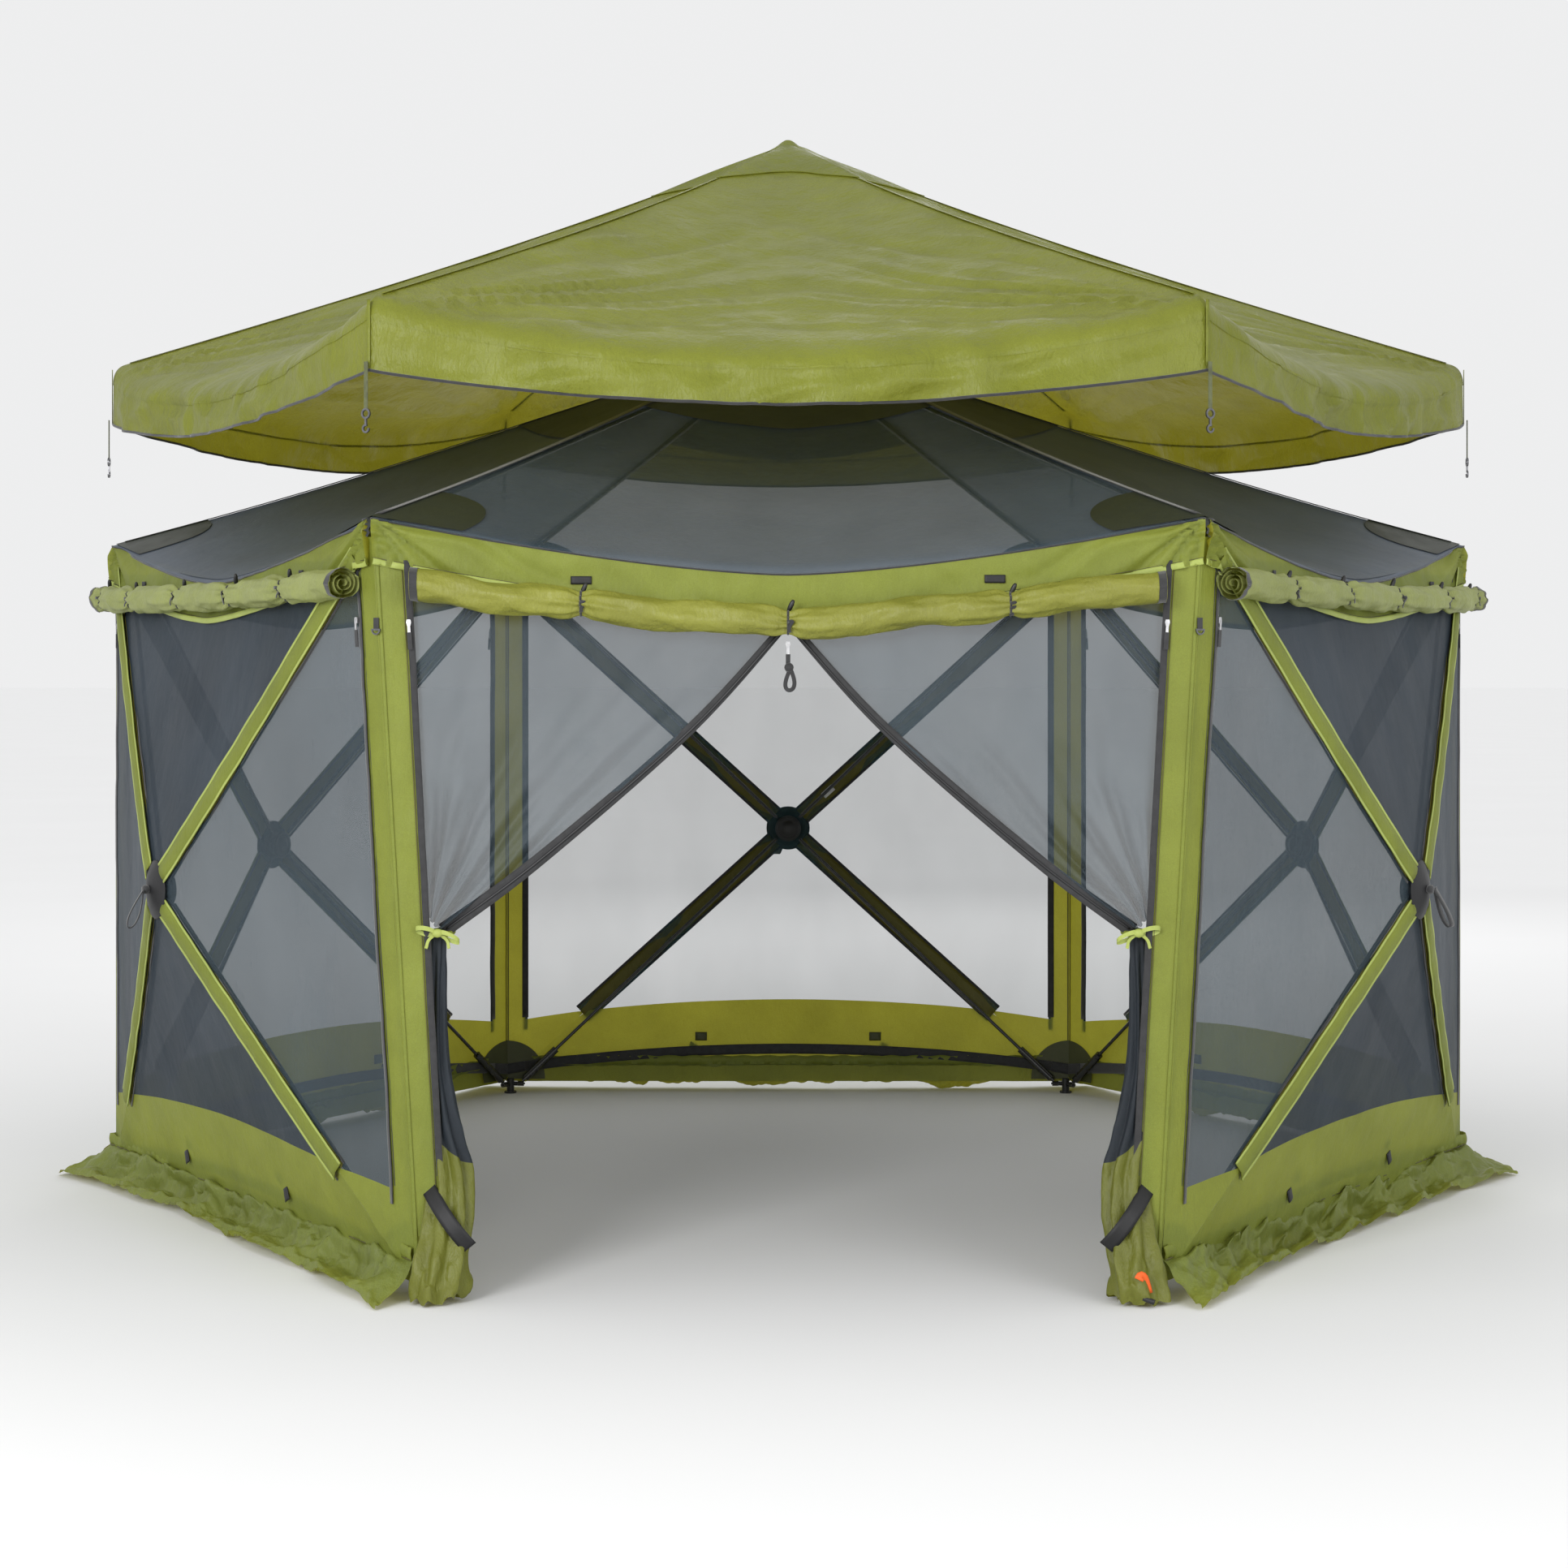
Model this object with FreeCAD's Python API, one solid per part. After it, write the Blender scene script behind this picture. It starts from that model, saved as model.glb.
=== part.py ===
import FreeCAD, Part
import math
import os

V = FreeCAD.Vector
UP = V(0, 0, 1)

# Six-sided screen house, millimetres. The origin is on the ground in the middle of its
# bounds, +Z is up and the doorway faces -Y. Corner 0 points to +X, then anticlockwise.
CORNER_R = 1830.0           # centre to a wall corner: 12 feet across the corners
CENTRE_Y = -40.7            # roof hub, in front of the origin: the back hub bulges behind
EAVE_Z = 1715.0             # roof edge at a corner
EAVE_DIP = 75.0             # how far the roof edge sags between two corners
ROOF_Z = 2275.0             # point where the roof gores would meet
FRONT_FOOT_IN = 100.0       # the two doorway feet stand this far inside their corners

# Pop-out walls: four poles meet in a hub that springs outward past the wall plane
PIVOT_TOP_Z = 1690.0
PIVOT_LOW_Z = 30.0
PIVOT_IN = 26.0             # pole hinge line, behind the wall plane
HUB_Z = 845.0
HUB_OUT = 220.0             # hub, outward of the hinge lines
HUB_TRAVEL = 440.0          # from fully popped out to fully pushed in
POLE_R = 5.5
POLE_END_GAP = 53.0         # pole end to hub centre, which leaves it room as the wall flattens
PIN_R = 3.0
PIN_CLEARANCE = 0.05
EYELET_AT = 30.0            # eyelet, along the hinge line from the corner bracket
EYELET_R = 8.0
SLEEVE_R = 12.0
SLEEVE_LENGTH = 137.0

# Cloth of the walls
CLOTH = 1.5
CLOTH_OUT = 26.0            # cloth plane, outward of the pole plane
SEAM_GAP = 25.0             # half the gap between two panels along a pole
HUB_GAP = 94.0              # panels stop this far from the hub centre
TOP_PANEL_START = 82.0      # below the hinge line, behind the eave band
LOW_PANEL_START = 72.0      # above the lower hinge line, above the skirt

# Hub: a spool with a domed cap each side and a webbing pull outside
FLANGE_R = 42.0
FLANGE_T = 4.0
FLANGE_FACE = 14.0
CORE_R = 26.0

# Static cloth
BAND_OUT = 6.0
BAND_SLOPE = 0.26
SKIRT_OUT = 141.0
SKIRT_Z = 85.0
SKIRT_IN = 12.0
ROLL_R = 31.0
ROLL_OUT = 80.0
ROLL_END = 50.0             # roll end, short of the corner

# Rain fly, held above the roof
FLY_R = 1838.0
FLY_CORNER_Z = 2195.0
FLY_DIP = 70.0
FLY_PEAK_Z = 2805.0
FLY_T = 2.0
VALANCE = 145.0
VALANCE_MID = 160.0
STRAP_R = 1848.0            # fly straps hang just outside the corner line
STRAP_LENGTH = 105.0

POPPED_WALLS = (
    ("back", 1, 2),
    ("rear_left", 2, 3),
    ("left", 3, 4),
    ("right", 5, 0),
    ("rear_right", 0, 1),
)

SIDE_ZIPS = (("left", "left"), ("left", "right"), ("right", "left"), ("right", "right"))


def unit(v):
    return v * (1.0 / v.Length)


def ray(k):
    """Direction from the centre to corner k; half numbers point between two corners."""
    a = math.radians(60 * k)
    return V(math.cos(a), math.sin(a), 0)


def around(k, radius, z=0.0):
    """A point on the line of corner k, by its distance from the roof hub's axis."""
    return V(0, CENTRE_Y, z) + ray(k) * radius


def centre(z):
    return V(0, CENTRE_Y, z)


def foot_shift(k):
    """The doorway feet stand inside their corners."""
    return V({4: FRONT_FOOT_IN, 5: -FRONT_FOOT_IN}.get(k, 0.0), 0, 0)


def pivot(k, top):
    """Where the two hinge lines of corner k cross, at the roof or at the foot."""
    radius = CORNER_R - PIVOT_IN / math.sin(math.pi / 3)
    if top:
        return around(k, radius, PIVOT_TOP_Z)
    return around(k, radius, PIVOT_LOW_Z) + foot_shift(k)


def ground_corner(k):
    return around(k, CORNER_R) + foot_shift(k)


def rod(start, end, radius):
    return Part.makeCylinder(radius, (end - start).Length, start, end - start)


def tube(start, end, radius, bore):
    reach = unit(end - start)
    return rod(start, end, radius).cut(rod(start - reach, end + reach, bore))


def fuse(solids):
    """One solid, with the seams between its pieces removed."""
    whole = solids[0]
    for solid in solids[1:]:
        whole = whole.fuse(solid)
    return whole.removeSplitter()


def plate(points, push):
    """A flat outline pushed along one direction."""
    return Part.Face(Part.makePolygon(list(points) + [points[0]])).extrude(push)


def block(corners_a, corners_b):
    """A solid between two outlines with the same number of points."""
    loops = [Part.makePolygon(list(c) + [c[0]]) for c in (corners_a, corners_b)]
    return Part.makeLoft(loops, True, True)


def bar(start, end, out, width, depth):
    """A strip from start to end, centred across its width and pushed out by its depth."""
    across = unit(out.cross(end - start)) * (width / 2)
    return plate([start - across, start + across, end + across, end - across], unit(out) * depth)


class Wall:
    """A wall between two corners, which are left and right as seen from outside."""

    def __init__(self, name, left, right):
        self.name, self.left, self.right = name, left, right
        self.top = pivot(left, True), pivot(right, True)
        self.low = pivot(left, False), pivot(right, False)
        self.along = unit(self.top[1] - self.top[0] + self.low[1] - self.low[0])
        self.out = self.along.cross(UP)
        middle = (self.top[0] + self.top[1] + self.low[0] + self.low[1]) * 0.25
        self.hub = V(middle.x, middle.y, HUB_Z) + self.out * HUB_OUT

    def at(self, along, out, z):
        """A point by its place in the wall: from the middle of the eave line."""
        middle = (around(self.left, CORNER_R) + around(self.right, CORNER_R)) * 0.5
        edge = unit(around(self.right, CORNER_R) - around(self.left, CORNER_R))
        return middle + edge * along + edge.cross(UP) * out + UP * z

    def hinges(self):
        """The four hinge lines of the wall's panels."""
        return {
            "top": self.top,
            "bottom": self.low,
            "left": (self.low[0], self.top[0]),
            "right": (self.low[1], self.top[1]),
        }

    def panel_frame(self, side):
        """Hinge start, direction along the hinge, direction to the hub, and outward face."""
        start, end = self.hinges()[side]
        edge = unit(end - start)
        reach = self.hub - start
        down = unit(reach - edge * reach.dot(edge))
        face = edge.cross(down)
        return start, edge, down, face if face.dot(self.out) > 0 else -face

    def panel(self, side):
        """One of the four triangles of cloth, clear of the other three."""
        start, edge, down, face = self.panel_frame(side)
        length = (self.hinges()[side][1] - start).Length
        reach = (self.hub - start).dot(down)
        foot = (self.hub - start).dot(edge)
        near = {"top": TOP_PANEL_START, "bottom": LOW_PANEL_START}.get(side, 0.0)
        inset_a = SEAM_GAP * math.hypot(foot, reach) / reach
        inset_b = SEAM_GAP * math.hypot(length - foot, reach) / reach
        outline = []
        for depth, order in ((near, 1), (reach - HUB_GAP, -1)):
            low = foot * depth / reach + inset_a
            high = length - (length - foot) * depth / reach - inset_b
            pair = [start + edge * s + down * depth + face * CLOTH_OUT for s in (low, high)]
            outline += pair[::order]
        return plate(outline, face * CLOTH)

    def pole(self, level, end):
        """A pole with the eyelet that turns on the bracket's pin."""
        corner, other = level[end], level[1 - end]
        axis = unit(other - corner)
        pin = corner + axis * EYELET_AT
        reach = unit(self.hub - pin)
        shaft = rod(pin + reach * 12, self.hub - reach * POLE_END_GAP, POLE_R)
        pieces = [shaft, rod(pin - axis * 6, pin + axis * 14, EYELET_R)]
        if level is self.low:
            pieces.append(rod(pin + reach * 24, pin + reach * (24 + SLEEVE_LENGTH), SLEEVE_R))
        bore = rod(pin - axis * 20, pin + axis * 30, PIN_R + PIN_CLEARANCE)
        return fuse(pieces).cut(bore)

    def hub_solid(self):
        """Spool with its two caps and the pull loop that hangs from the outer one."""
        out, hub = self.out, self.hub
        face = FLANGE_FACE
        pieces = [rod(hub - out * face, hub + out * face, CORE_R)]
        for side in (out, -out):
            pieces.append(rod(hub + side * face, hub + side * (face + FLANGE_T), FLANGE_R))
            cap = Part.makeCone(26, 18, 8, hub + side * (face + FLANGE_T), side)
            pieces.append(cap)
        top = hub + out * (face + FLANGE_T + 6) + UP * 12
        pieces.append(bar(top - UP * 66, top, out, 16, 4))
        return fuse(pieces)


def wall_nodes(wall):
    """Hub, upper and lower poles and four cloth panels of one pop-out wall."""
    return {
        f"{wall.name}_hub": [wall.hub_solid()],
        f"{wall.name}_upper_poles": [wall.pole(wall.top, end) for end in (0, 1)],
        f"{wall.name}_lower_poles": [wall.pole(wall.low, end) for end in (0, 1)],
        f"{wall.name}_net_top": [wall.panel("top")],
        f"{wall.name}_net_bottom": [wall.panel("bottom")],
        f"{wall.name}_net_left": [wall.panel("left")],
        f"{wall.name}_net_right": [wall.panel("right")],
    }


def pin_directions(k, top):
    """The directions in which the brackets of corner k carry a pin."""
    found = []
    for wall in WALLS:
        ends = wall.top if top else wall.low
        if k == wall.left:
            found.append(unit(ends[1] - ends[0]))
        if k == wall.right:
            found.append(unit(ends[0] - ends[1]))
    return found


def pins(point, directions):
    """Each pin stands out of a boss that keeps the eyelet off the bracket."""
    pieces = []
    for axis in directions:
        pieces.append(rod(point, point + axis * (EYELET_AT - 6.5), 7.0))
        pieces.append(rod(point, point + axis * (EYELET_AT + 17), PIN_R))
    return pieces


def roof_pole_ends(k):
    """A roof pole runs below its ridge, from the corner bracket to the roof hub."""
    radius = CORNER_R - PIVOT_IN / math.sin(math.pi / 3)
    slope = (ROOF_Z - EAVE_Z) / CORNER_R
    low = around(k, radius, PIVOT_TOP_Z + 10)
    high = around(k, 40, PIVOT_TOP_Z + 10 + slope * (radius - 40))
    return low, high


def roof_poles():
    poles = []
    for k in range(6):
        low, high = roof_pole_ends(k)
        reach = unit(high - low)
        poles.append(rod(low + reach * 4, high, POLE_R))
    return poles


def roof_hub():
    """A disc that takes the six pole ends, with a domed cap above the canopy."""
    low_z = roof_pole_ends(0)[1].z
    body = rod(centre(low_z - 16), centre(low_z + 12), 60)
    neck = rod(centre(low_z + 12), centre(ROOF_Z + 2), 34)
    cap = Part.makeCone(56, 30, 14, centre(ROOF_Z + 2), UP)
    hub = fuse([body, neck, cap])
    for pole in roof_poles():
        hub = hub.cut(pole)
    return [hub]


def corner_brackets():
    """Each eave corner holds a roof pole in a socket and the side poles on pins."""
    brackets = []
    for k, pole in enumerate(roof_poles()):
        point = pivot(k, True)
        post = rod(point - UP * 18, point + UP * 22, 14.0)
        brackets.append(fuse([post] + pins(point, pin_directions(k, True))).cut(pole))
    return brackets


def foot_brackets():
    """A round foot on the ground with a stem that carries the lower pins."""
    feet = []
    for k in range(6):
        point = pivot(k, False)
        base = V(point.x, point.y, 0)
        pieces = [rod(base, base + UP * 6, 19.5), rod(base, base + UP * 46, 12.0)]
        feet.append(fuse(pieces + pins(point, pin_directions(k, False))))
    return feet


def half_gores(corner_r, corner_z, dip, peak_z, thick, hole=0.0):
    """Twelve flat plates that meet on the ridges and on the valleys between them."""
    gores = []
    peak = centre(peak_z)
    middle_r = corner_r * math.cos(math.pi / 6)
    for k in range(12):
        rim = []
        for j in (k, k + 1):
            even = j % 2 == 0
            radius, z = (corner_r, corner_z) if even else (middle_r, corner_z - dip)
            rim.append(around(j / 2, radius, z))
        outline = [peak] + rim
        if hole:
            outline = [peak + (p - peak) * (hole / corner_r) for p in rim] + rim[::-1]
        gores.append(plate(outline, V(0, 0, -thick)))
    return gores


def roof_canopy():
    return half_gores(CORNER_R, EAVE_Z, EAVE_DIP, ROOF_Z, CLOTH, hole=75.0)


def fly_canopy():
    """The rain fly's twelve half gores and the small peak under its cap."""
    shell = half_gores(FLY_R, FLY_CORNER_Z, FLY_DIP, FLY_PEAK_Z, FLY_T)
    tip = Part.makeCone(34, 6, 22, centre(FLY_PEAK_Z - 7), UP)
    for gore in shell:
        tip = tip.cut(gore)
    return shell + [s for s in tip.Solids if s.CenterOfMass.z > FLY_PEAK_Z - 4]


def fly_valance():
    """The upright edge of the fly, in two flat pieces on each side."""
    pieces = []
    middle_r = FLY_R * math.cos(math.pi / 6)
    for k in range(12):
        ends = []
        for j in (k, k + 1):
            even = j % 2 == 0
            r = FLY_R if even else middle_r
            top = FLY_CORNER_Z - (0 if even else FLY_DIP) - FLY_T
            drop = VALANCE if even else VALANCE_MID
            skin = CLOTH / math.cos(math.pi / 6) if even else CLOTH
            inner, outer = around(j / 2, r - skin), around(j / 2, r)
            ends.append([p + UP * z for p, z in
                         ((inner, top), (outer, top), (outer, top - drop), (inner, top - drop))])
        pieces.append(block(*ends))
    return pieces


def fly_hook(k):
    """An elastic strap with a flat wire hook, hanging from a corner of the fly."""
    radial = ray(k)
    top = around(k, STRAP_R, FLY_CORNER_Z - VALANCE + 5)
    end = top - UP * STRAP_LENGTH
    strap = bar(end, top, radial, 10, 1.5)
    face = end - radial * 1.25
    ring = tube(face - UP * 9, face - UP * 9 + radial * 4, 12, 7.5)
    shank = bar(face - UP * 19, face - UP * 34, radial, 5, 4)
    curl = tube(face - UP * 42, face - UP * 42 + radial * 4, 10, 5.5)
    side = UP.cross(radial)
    mouth = plate([face - UP * 41 + side * s + UP * z - radial for s, z in
                   ((3, 0), (14, 0), (14, 12), (3, 12))], radial * 6)
    return [fuse([strap, ring, shank, curl.cut(mouth)])]


def eave_bands():
    """The cloth band under the roof edge: two halves a wall, hung clear of the top panels."""
    bands = []
    for wall in WALLS + [FRONT]:
        slope = 0.0 if wall is FRONT else BAND_SLOPE
        half = CORNER_R / 2 - (8 if wall is FRONT else 60)
        for sign in (-1, 1):
            rise = EAVE_DIP * (1 - half / (CORNER_R / 2))
            profile = ((sign * half, EAVE_Z - rise - 4), (0, EAVE_Z - EAVE_DIP - 4),
                       (0, 1492.0), (sign * half, 1612.0))
            outline = [wall.at(s, BAND_OUT + slope * (EAVE_Z - z), z) for s, z in profile]
            bands.append(plate(outline, wall.out * CLOTH))
    return bands


def corner_seams():
    """A narrow strip of seam tape up each corner that has a side panel on both sides."""
    strips = []
    for k in range(4):
        radial = ray(k)
        low = pivot(k, False) + radial * 27 + UP * 70
        high = pivot(k, True) + radial * 27
        strips.append(bar(low, high, radial, 8, 2))
    return strips


def front_posts():
    """Flat strips of cloth up both sides of the doorway, from the eave to the ground."""
    strips = []
    for sign in (-1, 1):
        outer_low = CORNER_R / 2 - FRONT_FOOT_IN - 4
        outline = [FRONT.at(sign * s, 0, z) for s, z in
                   ((CORNER_R / 2 - 4, 1690), (CORNER_R / 2 - 78, 1690),
                    (outer_low - 78, 2), (outer_low, 2))]
        strips.append(plate(outline, FRONT.out * CLOTH))
    return strips


def door_curtain(sign):
    """One half of the netting door, tied back to its post, with its bundle below the tie."""
    hang = ((836, 1500), (18, 1500), (20, 1443), (224, 1247), (554, 962), (745, 812), (790, 812))
    bundle = ((790, 806), (742, 806), (722, 620), (700, 330), (735, 330), (772, 620))
    toe = ((735, 324), (700, 324), (668, 120), (664, 2), (735, 2))
    solids = []
    for outline, depth in ((hang, CLOTH), (bundle, 30.0), (toe, 60.0)):
        points = [FRONT.at(sign * s, -3 - depth, z) for s, z in outline]
        solids.append(plate(points, FRONT.out * depth))
    return solids


def ground_skirts():
    """A wedge of cloth along the foot of each pop-out wall, mitred at the corners."""
    skirts = []
    section = ((SKIRT_IN, 0), (SKIRT_OUT, 0), (SKIRT_OUT, 5), (SKIRT_IN, SKIRT_Z))
    for wall in WALLS:
        ends = []
        low, high = ground_corner(wall.left), ground_corner(wall.right)
        edge = unit(high - low)
        out = edge.cross(UP)
        for corner, sign, k in ((low, -1, wall.left), (high, 1, wall.right)):
            ends.append([corner + out * w + edge * (sign * mitre(out, edge * sign, k) * w - sign * 0.5)
                         + UP * z for w, z in section])
        skirts.append(block(*ends))
    return skirts


def mitre(out, edge, k):
    """How far along the wall a skirt runs on for each millimetre outward at corner k."""
    if k in (4, 5):
        front = V(0, -1, 0)
        return (1 - out.dot(front)) / edge.dot(front)
    bisector = unit(ray(k))
    side = UP.cross(bisector)
    return -out.dot(side) / edge.dot(side)


def roll(wall, heights, out):
    """A rolled-up wind panel: straight runs between the heights that its ties set."""
    half = CORNER_R / 2 - ROLL_END
    count = len(heights) - 1
    points = [wall.at(-half + 2 * half * i / count, out, z) for i, z in enumerate(heights)]
    runs = []
    for i in range(count):
        ends = []
        for p in (points[i], points[i + 1]):
            ends.append([p + wall.out * (ROLL_R * math.cos(a)) + UP * (ROLL_R * math.sin(a))
                         for a in (math.radians(15 + 30 * n) for n in range(12))])
        runs.append(block(*ends))
    return runs


def wind_rolls():
    """The three wind panels, rolled up and tied under the eave."""
    front = roll(FRONT, (1564, 1530, 1500, 1509, 1500, 1530, 1564), BAND_OUT + CLOTH + ROLL_R + 3)
    sides = []
    for wall in WALLS:
        if wall.name in ("left", "right"):
            sides += roll(wall, (1567, 1560, 1562, 1567), ROLL_OUT)
    return front + sides


def d_rings():
    """A wire D on a webbing tab, flat on each doorway corner."""
    rings = []
    for k in (4, 5):
        radial = ray(k)
        share = (EAVE_Z - 1468) / EAVE_Z
        middle = around(k, CORNER_R + 5, 1468) + foot_shift(k) * share
        side = UP.cross(radial)
        ring = tube(middle, middle + radial * 3, 12, 8.5)
        lower = plate([middle + side * s + UP * z for s, z in
                       ((-14, 0), (14, 0), (14, 14), (-14, 14))], radial * 3)
        bridge = bar(middle - side * 12, middle + side * 12, radial, 4, 3)
        tab = bar(middle + UP, middle + UP * 26, radial, 14, 1.5)
        rings.append(fuse([ring.cut(lower), bridge, tab]))
    return rings


def slider(point, out, down):
    """A zip slider with its puller and a short webbing pull hanging from it."""
    side = unit(out.cross(down))
    body = plate([point + side * s + down * d for s, d in
                  ((-4, 0), (4, 0), (5.5, 6), (3.5, 14), (-3.5, 14), (-5.5, 6))], out * 5)
    level = point + out * 5
    puller = bar(level + down * 6, level + down * 30, out, 6, 2)
    pull = bar(level + down * 28, level + down * 66, out, 10, 2)
    return [fuse([body, puller, pull])]


def panel_slider(wall, side):
    """A slider on the zip beside a post, on the outer face of a side panel."""
    start, edge, down, face = wall.panel_frame(side)
    height = (1500 - start.z) / edge.z
    point = start + edge * height + down * 62 + face * (CLOTH_OUT + CLOTH + 1)
    return slider(point, face, -edge)


def post_slider(sign):
    """A slider on the zip that edges the doorway."""
    lean = FRONT_FOOT_IN * (EAVE_Z - 1500) / EAVE_Z
    point = FRONT.at(sign * (CORNER_R / 2 - lean - 70), CLOTH + 1, 1490)
    lower = FRONT.at(sign * (CORNER_R / 2 - FRONT_FOOT_IN - 74), CLOTH + 1, 0)
    return slider(point, FRONT.out, unit(lower - point))


def door_slider():
    return slider(FRONT.at(0, 2, 1442), FRONT.out, V(0, 0, -1))


WALLS = [Wall(*names) for names in POPPED_WALLS]
FRONT = Wall("front", 4, 5)


def build():
    nodes = {}
    for wall in WALLS:
        nodes.update(wall_nodes(wall))
    nodes["roof_hub"] = roof_hub()
    nodes["roof_poles"] = roof_poles()
    nodes["corner_brackets"] = corner_brackets()
    nodes["foot_brackets"] = foot_brackets()
    nodes["roof_canopy"] = roof_canopy()
    nodes["eave_and_post_strips"] = eave_bands() + corner_seams() + front_posts()
    nodes["door_curtains"] = door_curtain(-1) + door_curtain(1)
    nodes["ground_skirts"] = ground_skirts()
    nodes["wind_rolls"] = wind_rolls()
    nodes["d_rings"] = d_rings()
    nodes["fly_canopy"] = fly_canopy()
    nodes["fly_valance"] = fly_valance()
    for k, place in enumerate(("right", "rear_right", "rear_left", "left", "front_left", "front_right")):
        nodes[f"fly_hook_{place}"] = fly_hook(k)
    nodes["slider_door"] = door_slider()
    nodes["slider_door_left"] = post_slider(-1)
    nodes["slider_door_right"] = post_slider(1)
    by_name = {wall.name: wall for wall in WALLS}
    for name, side in SIDE_ZIPS:
        nodes[f"slider_{name}_wall_{side}"] = panel_slider(by_name[name], side)
    return nodes


os.makedirs("parts", exist_ok=True)
for node, solids in build().items():
    shape = solids[0] if len(solids) == 1 else Part.makeCompound(solids)
    shape.exportStep(f"parts/{node}.step")
    if not shape.isValid():
        print("invalid", node)
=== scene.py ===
from math import atan2, cos, exp, floor, hypot, pi, radians, sin

import bpy
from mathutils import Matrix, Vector, noise


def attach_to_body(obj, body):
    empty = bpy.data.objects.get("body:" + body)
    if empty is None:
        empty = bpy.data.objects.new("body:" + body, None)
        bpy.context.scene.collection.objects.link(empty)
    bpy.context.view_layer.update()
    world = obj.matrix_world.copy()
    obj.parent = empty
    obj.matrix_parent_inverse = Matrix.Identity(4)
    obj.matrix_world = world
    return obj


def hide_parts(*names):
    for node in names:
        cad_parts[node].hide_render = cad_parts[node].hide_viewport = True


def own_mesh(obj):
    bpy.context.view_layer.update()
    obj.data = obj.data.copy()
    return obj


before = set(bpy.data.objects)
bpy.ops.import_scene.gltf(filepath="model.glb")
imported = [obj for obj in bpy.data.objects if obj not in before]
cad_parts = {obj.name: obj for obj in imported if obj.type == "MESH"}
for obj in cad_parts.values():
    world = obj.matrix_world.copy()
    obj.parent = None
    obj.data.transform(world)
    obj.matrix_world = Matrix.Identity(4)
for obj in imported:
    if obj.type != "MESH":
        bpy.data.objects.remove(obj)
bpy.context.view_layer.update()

UP = Vector((0, 0, 1))
FORWARD = Vector((0, -1, 0))    # towards the camera

# Driving dimensions, in metres, as in the CAD model
R = 1.83                    # hub axis to a wall corner
CENTRE_Y = -0.0407          # the hub axis
EAVE = 1.715                # the corner brackets' height
FOOT_IN = 0.1               # the doorway's feet stand this far inside their corners
TOP, LOW, HUB_Z = 1.690, 0.030, 0.845    # wall poles: upper ends, lower ends and hub
HUB_W = 0.222               # cloth at the hub, outward of the wall plane
BAND_HEM = (1.612, 1.492)   # hem of the eave band: at a corner, between corners
NET_SEAM = (1.712, 1.588)   # where roof netting meets the green band
POST = 0.060                # green strip beside a corner
POST_TOP = 1.672            # the green strips end behind the eave band
ROLL_HALF = 0.832           # half the length of a rolled panel
DOOR_POST = 0.074           # green strip beside the doorway

WALL_CORNERS = {
    "front": (4, 5), "right": (5, 0), "rear_right": (0, 1),
    "back": (1, 2), "rear_left": (2, 3), "left": (3, 4),
}


def mix(a, b, t):
    return a + (b - a) * t


def smooth(t):
    t = min(1.0, max(0.0, t))
    return t * t * (3 - 2 * t)


def ray(k):
    a = radians(60 * k)
    return Vector((cos(a), sin(a), 0))


def around(k, radius, z=0.0):
    return Vector((0, CENTRE_Y, z)) + ray(k) * radius


def corner(k, z):
    """A point on the corner line k: the doorway feet stand inside their corners."""
    shift = {4: FOOT_IN, 5: -FOOT_IN}.get(k, 0.0) * max(0.0, 1 - z / EAVE)
    return around(k, R, z) + Vector((shift, 0, 0))


class Wall:
    """A wall with u from -1 at its left corner to 1 at its right, seen from outside."""

    def __init__(self, name):
        self.name = name
        self.left, self.right = WALL_CORNERS[name]
        self.along = (around(self.right, R) - around(self.left, R)).normalized()
        self.out = self.along.cross(UP)
        self.popped = name != "front"

    def bulge(self, u, z):
        """How far the four-sided pop-out stands outward."""
        if not self.popped:
            return 0.0
        rise = (TOP - z) / (TOP - HUB_Z) if z > HUB_Z else (z - LOW) / (HUB_Z - LOW)
        return HUB_W * max(0.0, min(1 - abs(u), rise))

    def at(self, u, z, lift=0.0):
        base = corner(self.left, z).lerp(corner(self.right, z), (u + 1) / 2)
        return base + self.out * (self.bulge(u, z) + lift)

    def body(self, side):
        return f"{self.name}_{side}" if self.popped else "frame"


WALLS = {name: Wall(name) for name in WALL_CORNERS}
POPPED = [wall for wall in WALLS.values() if wall.popped]


# ---------------------------------------------------------------- materials

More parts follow.
